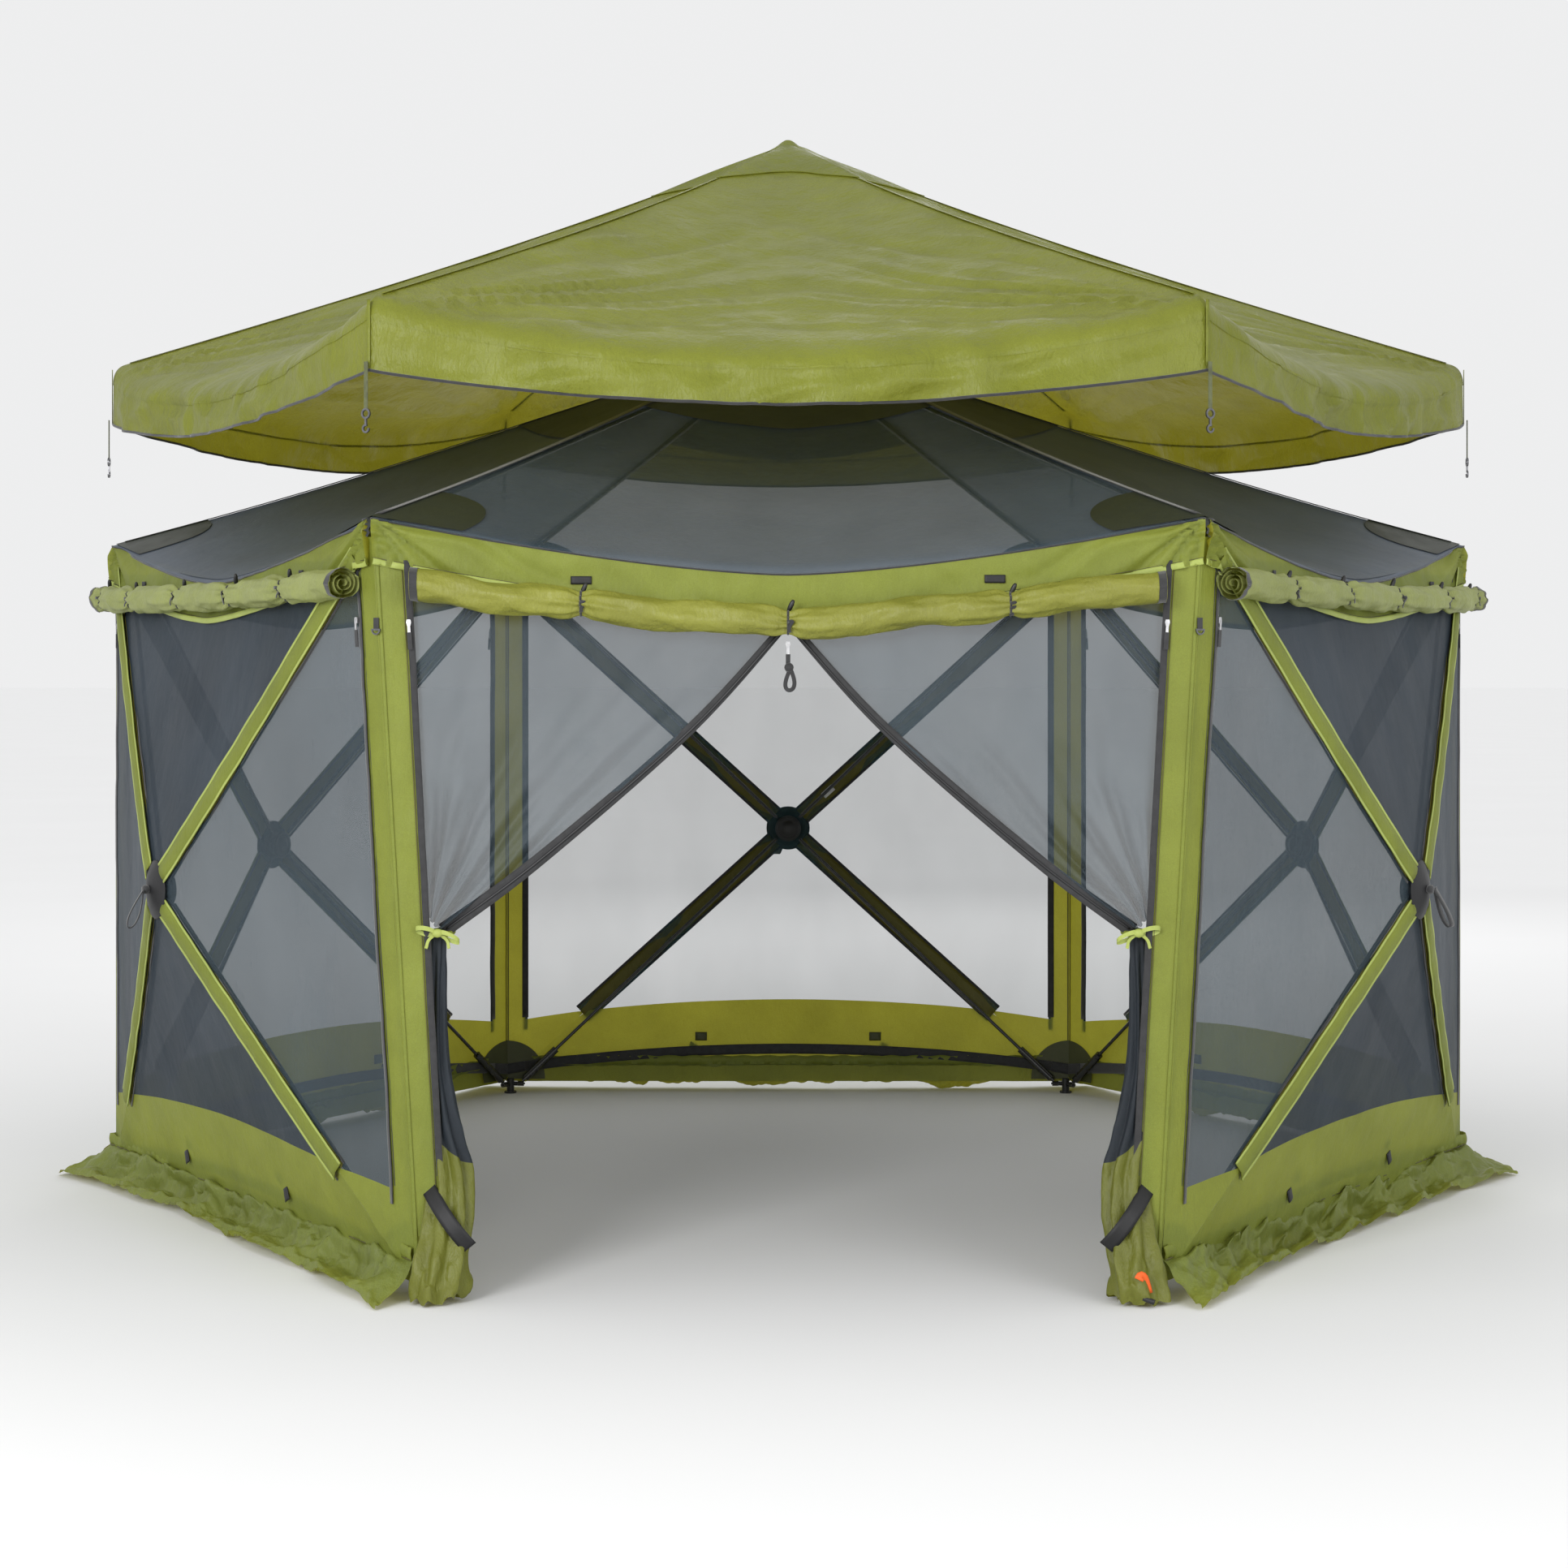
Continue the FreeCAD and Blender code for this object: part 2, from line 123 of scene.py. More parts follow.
class Nodes:
    """Short calls for building one material's node tree."""

    def __init__(self, name, **values):
        self.material = bpy.data.materials.new(name)
        self.material.use_nodes = True
        self.tree = self.material.node_tree
        self.bsdf = self.tree.nodes["Principled BSDF"]
        for key, value in values.items():
            self.bsdf.inputs[key.replace("_", " ")].default_value = value

    def add(self, kind, links=None, **settings):
        node = self.tree.nodes.new(kind)
        for key, value in settings.items():
            if hasattr(node, key):
                setattr(node, key, value)
            else:
                node.inputs[key].default_value = value
        for key, socket in (links or {}).items():
            self.tree.links.new(socket, node.inputs[key])
        return node

    def link(self, a, b):
        self.tree.links.new(a, b)

    def coords(self, kind="Object", scale=(1, 1, 1)):
        source = self.add("ShaderNodeTexCoord").outputs[kind]
        return self.add("ShaderNodeMapping", {"Vector": source}, Scale=scale).outputs[0]

    def noise(self, scale, detail=3.0, stretch=(1, 1, 1), rough=0.5):
        node = self.add("ShaderNodeTexNoise", {"Vector": self.coords("Object", stretch)},
                        Scale=scale, Detail=detail, Roughness=rough)
        return node.outputs["Fac"]

    def ramp(self, socket, stops):
        node = self.add("ShaderNodeValToRGB", {"Fac": socket})
        elements = node.color_ramp.elements
        for place, colour in stops[2:]:
            elements.new(place)
        for element, (place, colour) in zip(elements, sorted(stops)):
            element.position = place
            element.color = (*colour, 1)
        return node.outputs["Color"]

    def math(self, operation, a, b):
        node = self.tree.nodes.new("ShaderNodeMath")
        node.operation = operation
        for i, value in enumerate((a, b)):
            if hasattr(value, "links"):
                self.link(value, node.inputs[i])
            else:
                node.inputs[i].default_value = value
        return node.outputs[0]

    def multiply(self, a, b):
        node = self.add("ShaderNodeMix", data_type="RGBA", blend_type="MULTIPLY")
        node.inputs["Factor"].default_value = 1.0
        self.link(a, node.inputs[6])
        self.link(b, node.inputs[7])
        return node.outputs[2]

    def crinkle(self, scale):
        """Sharp branching crease lines, as in cloth that has been packed away."""
        node = self.add("ShaderNodeTexNoise", {"Vector": self.coords("Object")}, Scale=scale, Detail=3.0)
        node.noise_type = "RIDGED_MULTIFRACTAL"
        node.normalize = True
        return node.outputs["Fac"]

    def weave(self, pitch):
        """Warp and weft threads over the sheet's own UV, which is in metres."""
        threads = []
        for axis in ("X", "Y"):
            wave = self.add("ShaderNodeTexWave", {"Vector": self.coords("UV")},
                            Scale=0.314 / pitch, Distortion=0.0)
            wave.bands_direction = axis
            threads.append(wave.outputs["Fac"])
        return self.math("MAXIMUM", threads[0], threads[1])

    def span(self, value, low, high, start=0.0):
        """A value between start and 1, spread over low to high."""
        node = self.add("ShaderNodeMapRange", {"Value": value},
                        **{"From Min": start, "To Min": low, "To Max": high})
        return node.outputs[0]

    def bump(self, height, strength, distance, under=None):
        node = self.add("ShaderNodeBump", {"Height": height}, Strength=strength, Distance=distance)
        if under:
            self.link(under, node.inputs["Normal"])
        return node.outputs["Normal"]


def shades(colour, spread):
    """Darker, plain and lighter versions of a colour."""
    return [(place, tuple(min(1.0, c * f) for c in colour))
            for place, f in ((0.3, 1 - spread), (0.7, 1 + spread), (0.5, 1.0))]


def cloth(name, colour, spread=0.12, weave=0.0011, sheen=0.12, glow=0.0, through=None, folds=0.35, rough=0.5,
          specular=0.38):
    """Woven polyester: mottled colour, thread relief, creases, crinkles and a light sheen.
    glow is the share of light that passes through, and through its colour."""
    n = Nodes(name, Roughness=rough, Sheen_Weight=sheen, Sheen_Roughness=0.45, Specular_IOR_Level=specular)
    n.bsdf.inputs["Sheen Tint"].default_value = (*[min(1, c * 2.2) for c in colour], 1)
    tone = n.ramp(n.noise(5.0, 5.0, rough=0.6), shades(colour, spread))
    grain = n.ramp(n.noise(420.0, 2.0), [(0.25, (0.84,) * 3), (0.75, (1.0,) * 3)])
    both = n.multiply(tone, grain)
    n.link(both, n.bsdf.inputs["Base Color"])
    n.link(n.span(n.noise(14.0, 4.0), rough - 0.12, rough + 0.14), n.bsdf.inputs["Roughness"])
    creases = n.bump(n.noise(7.0, 6.0, stretch=(1, 1, 0.45), rough=0.62), folds, 0.03)
    crinkles = n.bump(n.crinkle(6.5), folds * 0.7, 0.012, creases)
    n.link(n.bump(n.weave(weave), 0.22, 0.0004, crinkles), n.bsdf.inputs["Normal"])
    if glow:
        light = n.add("ShaderNodeBsdfTranslucent", {"Normal": crinkles})
        warm = n.ramp(n.noise(5.0, 5.0, rough=0.6), shades(through or colour, spread))
        n.link(n.multiply(warm, grain), light.inputs["Color"])
        blend = n.add("ShaderNodeMixShader", {1: n.bsdf.outputs[0], 2: light.outputs[0]})
        blend.inputs[0].default_value = glow
        n.link(blend.outputs[0], n.tree.nodes["Material Output"].inputs["Surface"])
    return n.material


def netting(name, colour, cover, weave=0.0013, patchy=0.05, specular=0.5):
    """Fine insect netting: thin dark threads with open gaps, denser where it creases."""
    n = Nodes(name, Roughness=0.55, Sheen_Weight=0.04, Sheen_Roughness=0.4, Specular_IOR_Level=specular)
    tone = n.ramp(n.noise(3.0, 4.0), shades(colour, 0.16))
    n.link(tone, n.bsdf.inputs["Base Color"])
    cloud = n.span(n.noise(6.0, 5.0, stretch=(1, 1, 0.5)), cover - patchy, cover + patchy)
    threads = n.span(n.weave(weave), 0.88, 1.06)
    creased = n.span(n.crinkle(4.0), 0.0, 0.13, start=0.5)
    n.link(n.math("ADD", n.math("MULTIPLY", cloud, threads), creased), n.bsdf.inputs["Alpha"])
    creases = n.bump(n.noise(7.0, 5.0, stretch=(1, 1, 0.5)), 0.4, 0.02)
    n.link(n.bump(n.weave(weave), 0.3, 0.0004, creases), n.bsdf.inputs["Normal"])
    return n.material


def webbing(name, colour=(0.012, 0.012, 0.013), pitch=0.0022):
    """Ribbed tape: a herringbone of fine ribs across its length."""
    n = Nodes(name, Roughness=0.7, Sheen_Weight=0.3, Sheen_Roughness=0.5)
    tone = n.ramp(n.noise(60.0, 4.0), shades([c * 1.4 for c in colour], 0.35))
    n.link(tone, n.bsdf.inputs["Base Color"])
    ribs = n.add("ShaderNodeTexWave", {"Vector": n.coords("UV")}, Scale=0.314 / pitch, Distortion=1.2)
    n.link(n.bump(ribs.outputs["Fac"], 0.5, 0.0006), n.bsdf.inputs["Normal"])
    return n.material


def plastic(name, colour, rough, coat=0.0):
    """Moulded plastic with a fine grain and faint handling marks."""
    n = Nodes(name, Roughness=rough, Coat_Weight=coat, Coat_Roughness=0.12)
    tone = n.ramp(n.noise(35.0, 5.0), shades(colour, 0.25))
    n.link(tone, n.bsdf.inputs["Base Color"])
    n.link(n.span(n.noise(90.0, 6.0), rough - 0.08, rough + 0.14), n.bsdf.inputs["Roughness"])
    n.link(n.bump(n.noise(700.0, 2.0), 0.2, 0.0003), n.bsdf.inputs["Normal"])
    return n.material


def metal(name, colour, rough):
    """Die-cast metal: brushed grain and small dull patches."""
    n = Nodes(name, Metallic=1.0, Roughness=rough)
    tone = n.ramp(n.noise(120.0, 4.0), shades(colour, 0.18))
    n.link(tone, n.bsdf.inputs["Base Color"])
    n.link(n.span(n.noise(200.0, 5.0), rough - 0.1, rough + 0.15), n.bsdf.inputs["Roughness"])
    n.link(n.bump(n.noise(300.0, 3.0, stretch=(1, 1, 0.08)), 0.25, 0.0004), n.bsdf.inputs["Normal"])
    return n.material


GREEN = (0.268, 0.318, 0.050)
BACKLIT = (0.50, 0.44, 0.030)   # light that has come through the green cloth
MATERIALS = {
    "green": cloth("green_cloth", GREEN, glow=0.38, through=BACKLIT, folds=0.45),
    "skirt": cloth("skirt_cloth", (0.190, 0.230, 0.045), glow=0.26, through=BACKLIT, folds=0.8, rough=0.42),
    # Painted shade: toe_cloth is a darker copy of the green cloth, standing in for the shade in the curtain
    # bundle's crumpled lower part.
    "toe": cloth("toe_cloth", (0.150, 0.162, 0.022), glow=0.15, through=BACKLIT, folds=0.8, rough=0.42),
    "fly": cloth("fly_cloth", (0.222, 0.250, 0.030), spread=0.09, sheen=0.02, glow=0.30, through=BACKLIT,
                 folds=0.85, rough=0.34, specular=0.36),
    "roll": cloth("rolled_cloth", (0.232, 0.238, 0.036), spread=0.14, glow=0.1, through=BACKLIT, folds=0.8,
                  rough=0.40),
    "roll_side": cloth("rolled_side_cloth", (0.270, 0.302, 0.095), spread=0.12, glow=0.1, through=BACKLIT,
                       folds=0.8),
    "inner": cloth("olive_lining", (0.085, 0.082, 0.016), sheen=0.1),
    "lining": cloth("sleeve_lining", (0.150, 0.138, 0.018), sheen=0.1, glow=0.25, through=BACKLIT),
    "patch": cloth("olive_patch", (0.062, 0.068, 0.022), sheen=0.05, folds=0.15),
    "roof_patch": cloth("roof_patch", (0.028, 0.034, 0.024), sheen=0.05, folds=0.15),
    "edging": cloth("green_edging", (0.34, 0.40, 0.09), folds=0.1),
    "net": netting("side_netting", (0.018, 0.028, 0.040), 0.975, specular=0.15),
    "net_near": netting("side_netting_near", (0.034, 0.052, 0.066), 0.74, specular=0.3),
    "net_far": netting("side_netting_far", (0.020, 0.032, 0.045), 0.97, specular=0.15),
    "net_back": netting("back_netting", (0.030, 0.095, 0.110), 0.42, specular=0.3),
    "net_roof": netting("roof_netting", (0.064, 0.084, 0.118), 0.95),
    "net_gable": netting("gable_netting", (0.040, 0.060, 0.078), 0.71, specular=0.25),
    "net_cap": netting("cap_netting", (0.030, 0.038, 0.048), 0.94),
    "net_door": netting("door_netting", (0.030, 0.048, 0.062), 0.63, patchy=0.09),
    "net_bundle": netting("bundled_netting", (0.016, 0.021, 0.027), 0.98, specular=0.25),
    "tape": webbing("black_tape"),
    "strap": webbing("black_webbing", pitch=0.0016),
    "fly_strap": webbing("olive_webbing", (0.055, 0.062, 0.022), pitch=0.0016),
    "velcro": cloth("hook_and_loop", (0.012, 0.012, 0.013), sheen=0.6, weave=0.0016, folds=0.1),
    "pole": plastic("pole_fibreglass", (0.008, 0.008, 0.009), 0.22, coat=0.6),
    "plastic": plastic("moulded_plastic", (0.012, 0.012, 0.013), 0.42),
    "zinc": metal("slider_metal", (0.62, 0.62, 0.63), 0.32),
    "wire": metal("ring_metal", (0.16, 0.16, 0.17), 0.38),
    "tag": cloth("orange_tag", (0.80, 0.12, 0.015), weave=0.0009),
    "label": cloth("plain_label", (0.75, 0.75, 0.74), spread=0.05, weave=0.0009),
}


# ---------------------------------------------------------------- meshes

def mesh_object(name, points, faces, material, uvs=None):
    """A smooth-shaded mesh; uvs holds one place in the sheet for each point."""
    mesh = bpy.data.meshes.new(name)
    mesh.from_pydata([tuple(p) for p in points], [], faces)
    layer = mesh.uv_layers.new(name="UVMap")
    if uvs:
        for loop in mesh.loops:
            layer.data[loop.index].uv = uvs[loop.vertex_index]
    mesh.materials.append(MATERIALS[material])
    for polygon in mesh.polygons:
        polygon.use_smooth = True
    mesh.validate()
    thing = bpy.data.objects.new(name, mesh)
    bpy.context.scene.collection.objects.link(thing)
    return thing


def skin(name, points, uvs, columns, material, wrap=True, capped=True, flip=False):
    """Faces between rows of points: wrap joins the ends of each row, capped fills the first and last row."""
    faces = []
    for start in range(0, len(points) - columns, columns):
        for i in range(columns if wrap else columns - 1):
            a, b = start + i, start + (i + 1) % columns
            faces.append((a, a + columns, b + columns, b) if flip else (a, b, b + columns, a + columns))
    if capped:
        ends = [tuple(range(columns))[::-1], tuple(range(len(points) - columns, len(points)))]
        faces += [end[::-1] for end in ends] if flip else ends
    return mesh_object(name, points, faces, material, uvs)


def sheet(name, f, nu, nv, material, size=(1, 1), wrap=False):
    """A surface from f(u, v), with u and v from 0 to 1. wrap joins its last column to its first."""
    points, uvs = [], []
    columns = nu if wrap else nu + 1
    for j in range(nv + 1):
        for i in range(columns):
            points.append(f(i / nu, j / nv))
            uvs.append((size[0] * i / nu, size[1] * j / nv))
    return skin(name, points, uvs, columns, material, wrap, capped=False)


def path_frames(points, normal=None):
    """Unit side and up at each point, without twist."""
    frames = []
    last = normal
    for i in range(len(points)):
        a, b = points[max(0, i - 1)], points[min(len(points) - 1, i + 1)]
        t = (b - a).normalized()
        if last is None:
            last = t.orthogonal()
        up = last - t * last.dot(t)
        up.normalize()
        frames.append((t.cross(up), up))
        last = normal if normal is not None else up
    return frames


def tube(name, points, radius, material, sides=10):
    """A round cord with closed ends along a line of points; radius may be a function."""
    size = radius if callable(radius) else lambda t: radius
    rings, uvs = [], []
    length = 0.0
    for i, (p, (side, up)) in enumerate(zip(points, path_frames(points))):
        if i:
            length += (p - points[i - 1]).length
        r = size(i / (len(points) - 1))
        for s in range(sides):
            a = 2 * pi * s / sides
            rings.append(p + side * (r * cos(a)) + up * (r * sin(a)))
            uvs.append((length, r * a))
    return skin(name, rings, uvs, sides, material)


def tape(name, points, normal, width, thick, material, crown=0.0):
    """A flat band along a line of points, with a thickness and a crowned face."""
    rings, uvs = [], []
    profile = [(-1, 0), (-1, 1), (-0.5, 1), (0, 1), (0.5, 1), (1, 1), (1, 0), (0, 0)]
    length = 0.0
    for i, (p, (side, up)) in enumerate(zip(points, path_frames(points, normal))):
        if i:
            length += (p - points[i - 1]).length
        w = width(i / (len(points) - 1)) if callable(width) else width
        for x, y in profile:
            rise = y * thick + crown * (1 - x * x)
            rings.append(p + side * (x * w / 2) + up * rise)
            uvs.append((length, x * w / 2 + w / 2))
    return skin(name, rings, uvs, len(profile), material, flip=True)


def floor_square(name, far):
    """A flat square on the ground, reaching far from the middle on each side."""
    corners = ((-far, -far), (far, -far), (far, far), (-far, far))
    return mesh_object(name, [Vector((x, y, 0)) for x, y in corners], [(0, 1, 2, 3)], "floor")


def line(a, b, count):
    return [a.lerp(b, i / count) for i in range(count + 1)]


def curve(f, count):
    return [f(i / count) for i in range(count + 1)]


def disc(name, centre, out, profile, material, sides=40, squash=1.0):
    """A turned piece: profile is (radius, height) pairs along the outward axis."""
    side = out.cross(UP).normalized() if abs(out.z) < 0.9 else Vector((1, 0, 0))
    up = side.cross(out).normalized()
    points, uvs = [], []
    for r, h in profile:
        for s in range(sides):
            a = 2 * pi * s / sides
            points.append(centre + out * h + side * (r * cos(a)) + up * (r * squash * sin(a)))
            uvs.append((r * cos(a), r * sin(a)))
    return skin(name, points, uvs, sides, material)


SLOTS = {
    "green_cloth": ("green", "skirt", "toe", "fly", "inner", "lining", "patch", "roof_patch", "edging",
                    "tag"),
    "dark_netting": [name for name in MATERIALS if name.startswith("net")],
    "rolled_panel_cloth": ("roll", "roll_side"),
    "strap_webbing": ("tape", "strap", "velcro", "label"),
    "black_plastic": ("plastic",),
    "zip_metal": ("zinc",),
}
SLOT_OF = {MATERIALS[name].name: slot for slot, names in SLOTS.items() for name in names}


def attach(body, *pieces, slot=None):
    """Fixes pieces to one body; the slot that each piece's material belongs to is looked up but not given to
    the piece.
    """
    for piece in pieces:
        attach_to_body(piece, body)
        slot or SLOT_OF[piece.data.materials[0].name]


def declare(piece, extra=()):
    """Takes a sheet and the pieces that go with it, and does nothing with them."""
    list(extra)


def uneven(x, y, z):
    """Smooth unevenness between about -1 and 1, the same each run."""
    return noise.noise(Vector((x, y, z)))


def wave3(p, scale, seed=0.0):
    return uneven(p.x * scale + seed, p.y * scale - seed, p.z * scale + seed * 0.5)


def ripple(wall, u, z, strength=1.0):
    """Soft uneven tension in the wall's cloth, the same for every piece that shares a seam."""
    p = wall.at(u, z)
    pinned = min(1.0, 6 * (1 - abs(u)) + 0.15)
    gathers = 0.0045 * exp(-max(0.0, z - 0.09) / 0.055) * uneven(u * 24, z * 5, wall.left)
    return strength * pinned * (0.006 * wave3(p, 3.1, 2.0) + 0.0030 * wave3(p, 9.0, 5.0)
                                + 0.0014 * wave3(p, 24.0, 1.0) + gathers)


def on_cloth(wall, u, z, lift=0.0, strength=1.0):
    """A point on the wall's uneven cloth."""
    return wall.at(u, z, lift + ripple(wall, u, z, strength))


# ---------------------------------------------------------------- camera, floor and light

CAMERA_BACK, CAMERA_UP = 4.467, 0.764      # from the hub axis and the ground, in corner radii
FLOOR_REACH = 150
LAMPS = (                   # name, place, width and power
    ("key", (-4.2, -9.0, 3.6), 3.0, 480),
    ("fill", (5.0, -8.5, 2.8), 4.0, 220),
    ("rim", (1.0, 8.0, 5.0), 4.0, 110),
)


def make_stage():
    """The photo's level camera, a pale floor with painted shade near the middle, where the lamps light it
    most, that fades into a pale surround, and three soft lamps.
    """
    scene = bpy.context.scene
    camera = bpy.data.objects.new("camera", bpy.data.cameras.new("camera"))
    scene.collection.objects.link(camera)
    camera.location = (0, CENTRE_Y - CAMERA_BACK * R, CAMERA_UP * R)
    camera.rotation_euler = (pi / 2, 0, 0)
    camera.data.lens = 68.93
    camera.data.sensor_width = 36
    camera.data.shift_x = -0.00259
    camera.data.shift_y = -0.07816
    camera.data.clip_end = 400
    scene.camera = camera
    scene.view_settings.view_transform = "Standard"

    n = Nodes("floor_paper", Roughness=0.95, Specular_IOR_Level=0.1)
    # Painted shade: a spherical gradient makes the floor's colour darker near the middle, where the lamps
    # light it most, and lighter far out.
    reach = n.add("ShaderNodeTexGradient", {"Vector": n.coords("Object", (0.085, 0.085, 0.085))})
    reach.gradient_type = "SPHERICAL"
    fall = n.ramp(reach.outputs["Fac"], [(0.0, (0.98,) * 3), (0.80, (0.82,) * 3)])
    mottle = n.ramp(n.noise(0.7, 3.0), [(0.3, (0.985,) * 3), (0.7, (1.0,) * 3)])
    n.link(n.multiply(fall, mottle), n.bsdf.inputs["Base Color"])
    n.link(n.bump(n.noise(60.0, 3.0), 0.05, 0.001), n.bsdf.inputs["Normal"])
    MATERIALS["floor"] = n.material
    floor_square("floor", FLOOR_REACH)

    world = bpy.data.worlds.new("studio")
    scene.world = world
    world.use_nodes = True
    back = world.node_tree.nodes["Background"]
    back.inputs["Color"].default_value = (0.853, 0.856, 0.860, 1)
    back.inputs["Strength"].default_value = 1.0
    for name, place, size, power in LAMPS:
        lamp = bpy.data.objects.new(name, bpy.data.lights.new(name, "AREA"))
        lamp.data.size = size
        lamp.data.energy = power
        lamp.location = place
        aim = Vector((0, 0, 1.2)) - Vector(place)
        lamp.rotation_euler = aim.to_track_quat("-Z", "Y").to_euler()
        scene.collection.objects.link(lamp)


# ---------------------------------------------------------------- walls

SIDES = ((-1, "left"), (1, "right"))
SKIRT_SEAM = 0.088          # where the ground skirt is sewn on
BAND_FOOT = 0.034           # the lower band reaches on down inside the skirt
BAND_TOP, BAND_RISE = 0.292, 0.067    # its top seam between corners, and the fall to a corner
POST_U = 1 - POST / (R / 2)
NET_TOP = 1.625             # wall netting ends here, behind the eave band


def low_seam(u):
    """Netting meets the green lower band on a line that rises between the corners."""
    return BAND_TOP - BAND_RISE * u * u


def upper_pole(u):
    return HUB_Z + abs(u) * (TOP - HUB_Z)


def lower_pole(u):
    return HUB_Z - abs(u) * (HUB_Z - LOW)


def crossing(f, g):
    """Where two heights meet between the middle of a wall and its corner, by halving."""
    a, b = 0.0, 1.0
    sign = f(a) > g(a)
    for _ in range(40):
        middle = (a + b) / 2
        if (f(middle) > g(middle)) == sign:
            a = middle
        else:
            b = middle
    return a


SEAM_U = crossing(lower_pole, low_seam)


def wall_top(u):
    """Wall netting ends here, behind the eave band and below the roof's edge."""
    return min(NET_TOP, rim(u) - 0.006)


def wall_patch(wall, name, u_range, low, high, grid, material, side):
    """A piece of wall cloth between two heights, which rides on one side's body."""
    def f(i, j):
        u = mix(*u_range, i)
        return on_cloth(wall, u, mix(low(u), high(u), j))
    width = abs(u_range[1] - u_range[0]) * R / 2
    piece = sheet(f"{wall.name}_{name}", f, *grid, material, size=(width, 0.8))
    attach(wall.body(side), piece)
    return piece


def line_tape(wall, name, u, heights, lift, face, width, material):
    """An upright tape on a wall, facing outward or, with face -1, inward."""
    run = curve(lambda t: on_cloth(wall, u, mix(*heights, t), lift), 44)
    return tape(f"{wall.name}_{name}", run, wall.out * face, width, 0.0014, material)


def foot_patch(wall, sign, side):
    """A round-topped reinforcing patch inside the foot of each corner."""
    def f(i, j):
        a = i * pi / 2
        reach = 0.125 * mix(0.05, 1.0, j)
        u = sign * (1 - reach * cos(a) / (R / 2))
        return on_cloth(wall, u, LOW + 0.012 + reach * sin(a), -0.006, 0.8)
    return sheet(f"{wall.name}_foot_patch_{side}", f, 16, 5, "patch", size=(0.2, 0.13))


def wall_cloth(wall):
    """The netting above and below the poles of a pop-out wall, and the green band under it."""
    net = "net" if wall.name in ("left", "right") else "net_back"
    top_u = crossing(upper_pole, lambda u: NET_TOP)
    top = wall_patch(wall, "netting_top", (-top_u, top_u), upper_pole,
                     lambda u: max(upper_pole(u), wall_top(u)), (48, 26), net, "upper")
    declare(top)
    low = wall_patch(wall, "netting_bottom", (-SEAM_U, SEAM_U), low_seam, lower_pole, (40, 22), net, "lower")
    declare(low)
    foot_u = crossing(lower_pole, lambda u: BAND_FOOT)
    band = wall_patch(wall, "low_band_middle", (-foot_u, foot_u), lambda u: BAND_FOOT,
                      lambda u: min(low_seam(u), lower_pole(u)), (72, 12), "green", "lower")
    declare(band)
    for sign, side in SIDES:
        side_panel(wall, sign, side)
    inner_strap(wall)
    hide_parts(f"{wall.name}_net_top")
    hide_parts(f"{wall.name}_net_bottom")


def side_panel(wall, sign, side):
    """The netting triangle beside a post, the band's end below it and the green post strip."""
    net = "net_back"
    if wall.name in ("left", "right"):
        net = "net_far" if wall.name == side else "net_near"
    body = f"{side}_panel"
    panel = wall_patch(wall, f"netting_{side}", (0.004 * sign, POST_U * sign),
                       lambda u: max(low_seam(u), lower_pole(u)), lambda u: min(wall_top(u), upper_pole(u)),
                       (30, 56), net, body)
    low_part = wall_patch(wall, f"low_band_{side}", (SEAM_U * sign, sign),
                          lambda u: max(BAND_FOOT, lower_pole(u)), low_seam, (22, 10), "green", body)
    post = wall_patch(wall, f"post_{side}", (POST_U * sign, sign), low_seam, lambda u: POST_TOP,
                      (6, 60), "green", body)
    trims = [line_tape(wall, f"{name}_{side}", u * sign, *rest) for name, u, *rest in (
        ("zip_tape", POST_U, (0.20, 1.60), 0.002, 1, 0.014, "tape"),
        ("post_border", POST_U, (0.24, 1.62), -0.002, -1, 0.020, "tape"),
        ("post_seam", 0.994, (0.10, 1.66), -0.003, -1, 0.004, "inner"))]
    patch = foot_patch(wall, sign, side)
    attach(wall.body(body), *trims, patch)
    declare(panel)
    declare(low_part, [patch])
    declare(post, trims)
    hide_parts(f"{wall.name}_net_{side}")


def inner_strap(wall):
    """The black strap inside the lower band, a run for each body that it crosses, and two tabs."""
    def height(u):
        return 0.137 - 0.063 * u * u

    edge = crossing(lower_pole, height)
    for name, a, b, body in (("middle", -edge, edge, "lower"), ("left", -1.0, -edge, "left_panel"),
                             ("right", edge, 1.0, "right_panel")):
        run = [on_cloth(wall, u, height(u), -0.0085, 0.8) for u in curve(lambda t: mix(a, b, t), 40)]
        strap = tape(f"{wall.name}_inner_strap_{name}", run, -wall.out, 0.033, 0.0014, "strap")
        attach(wall.body(body), strap)
    tab_z = 0.176
    for n, u in enumerate((-0.31, 0.31)):
        lift = -0.0075 + ripple(wall, u, tab_z)
        run = [wall.at(u + d, tab_z, lift) for d in (-0.021, -0.007, 0.007, 0.021)]
        tab = tape(f"{wall.name}_inner_tab_{n}", run, -wall.out, 0.028, 0.0015, "patch")
        attach(wall.body("lower"), tab)


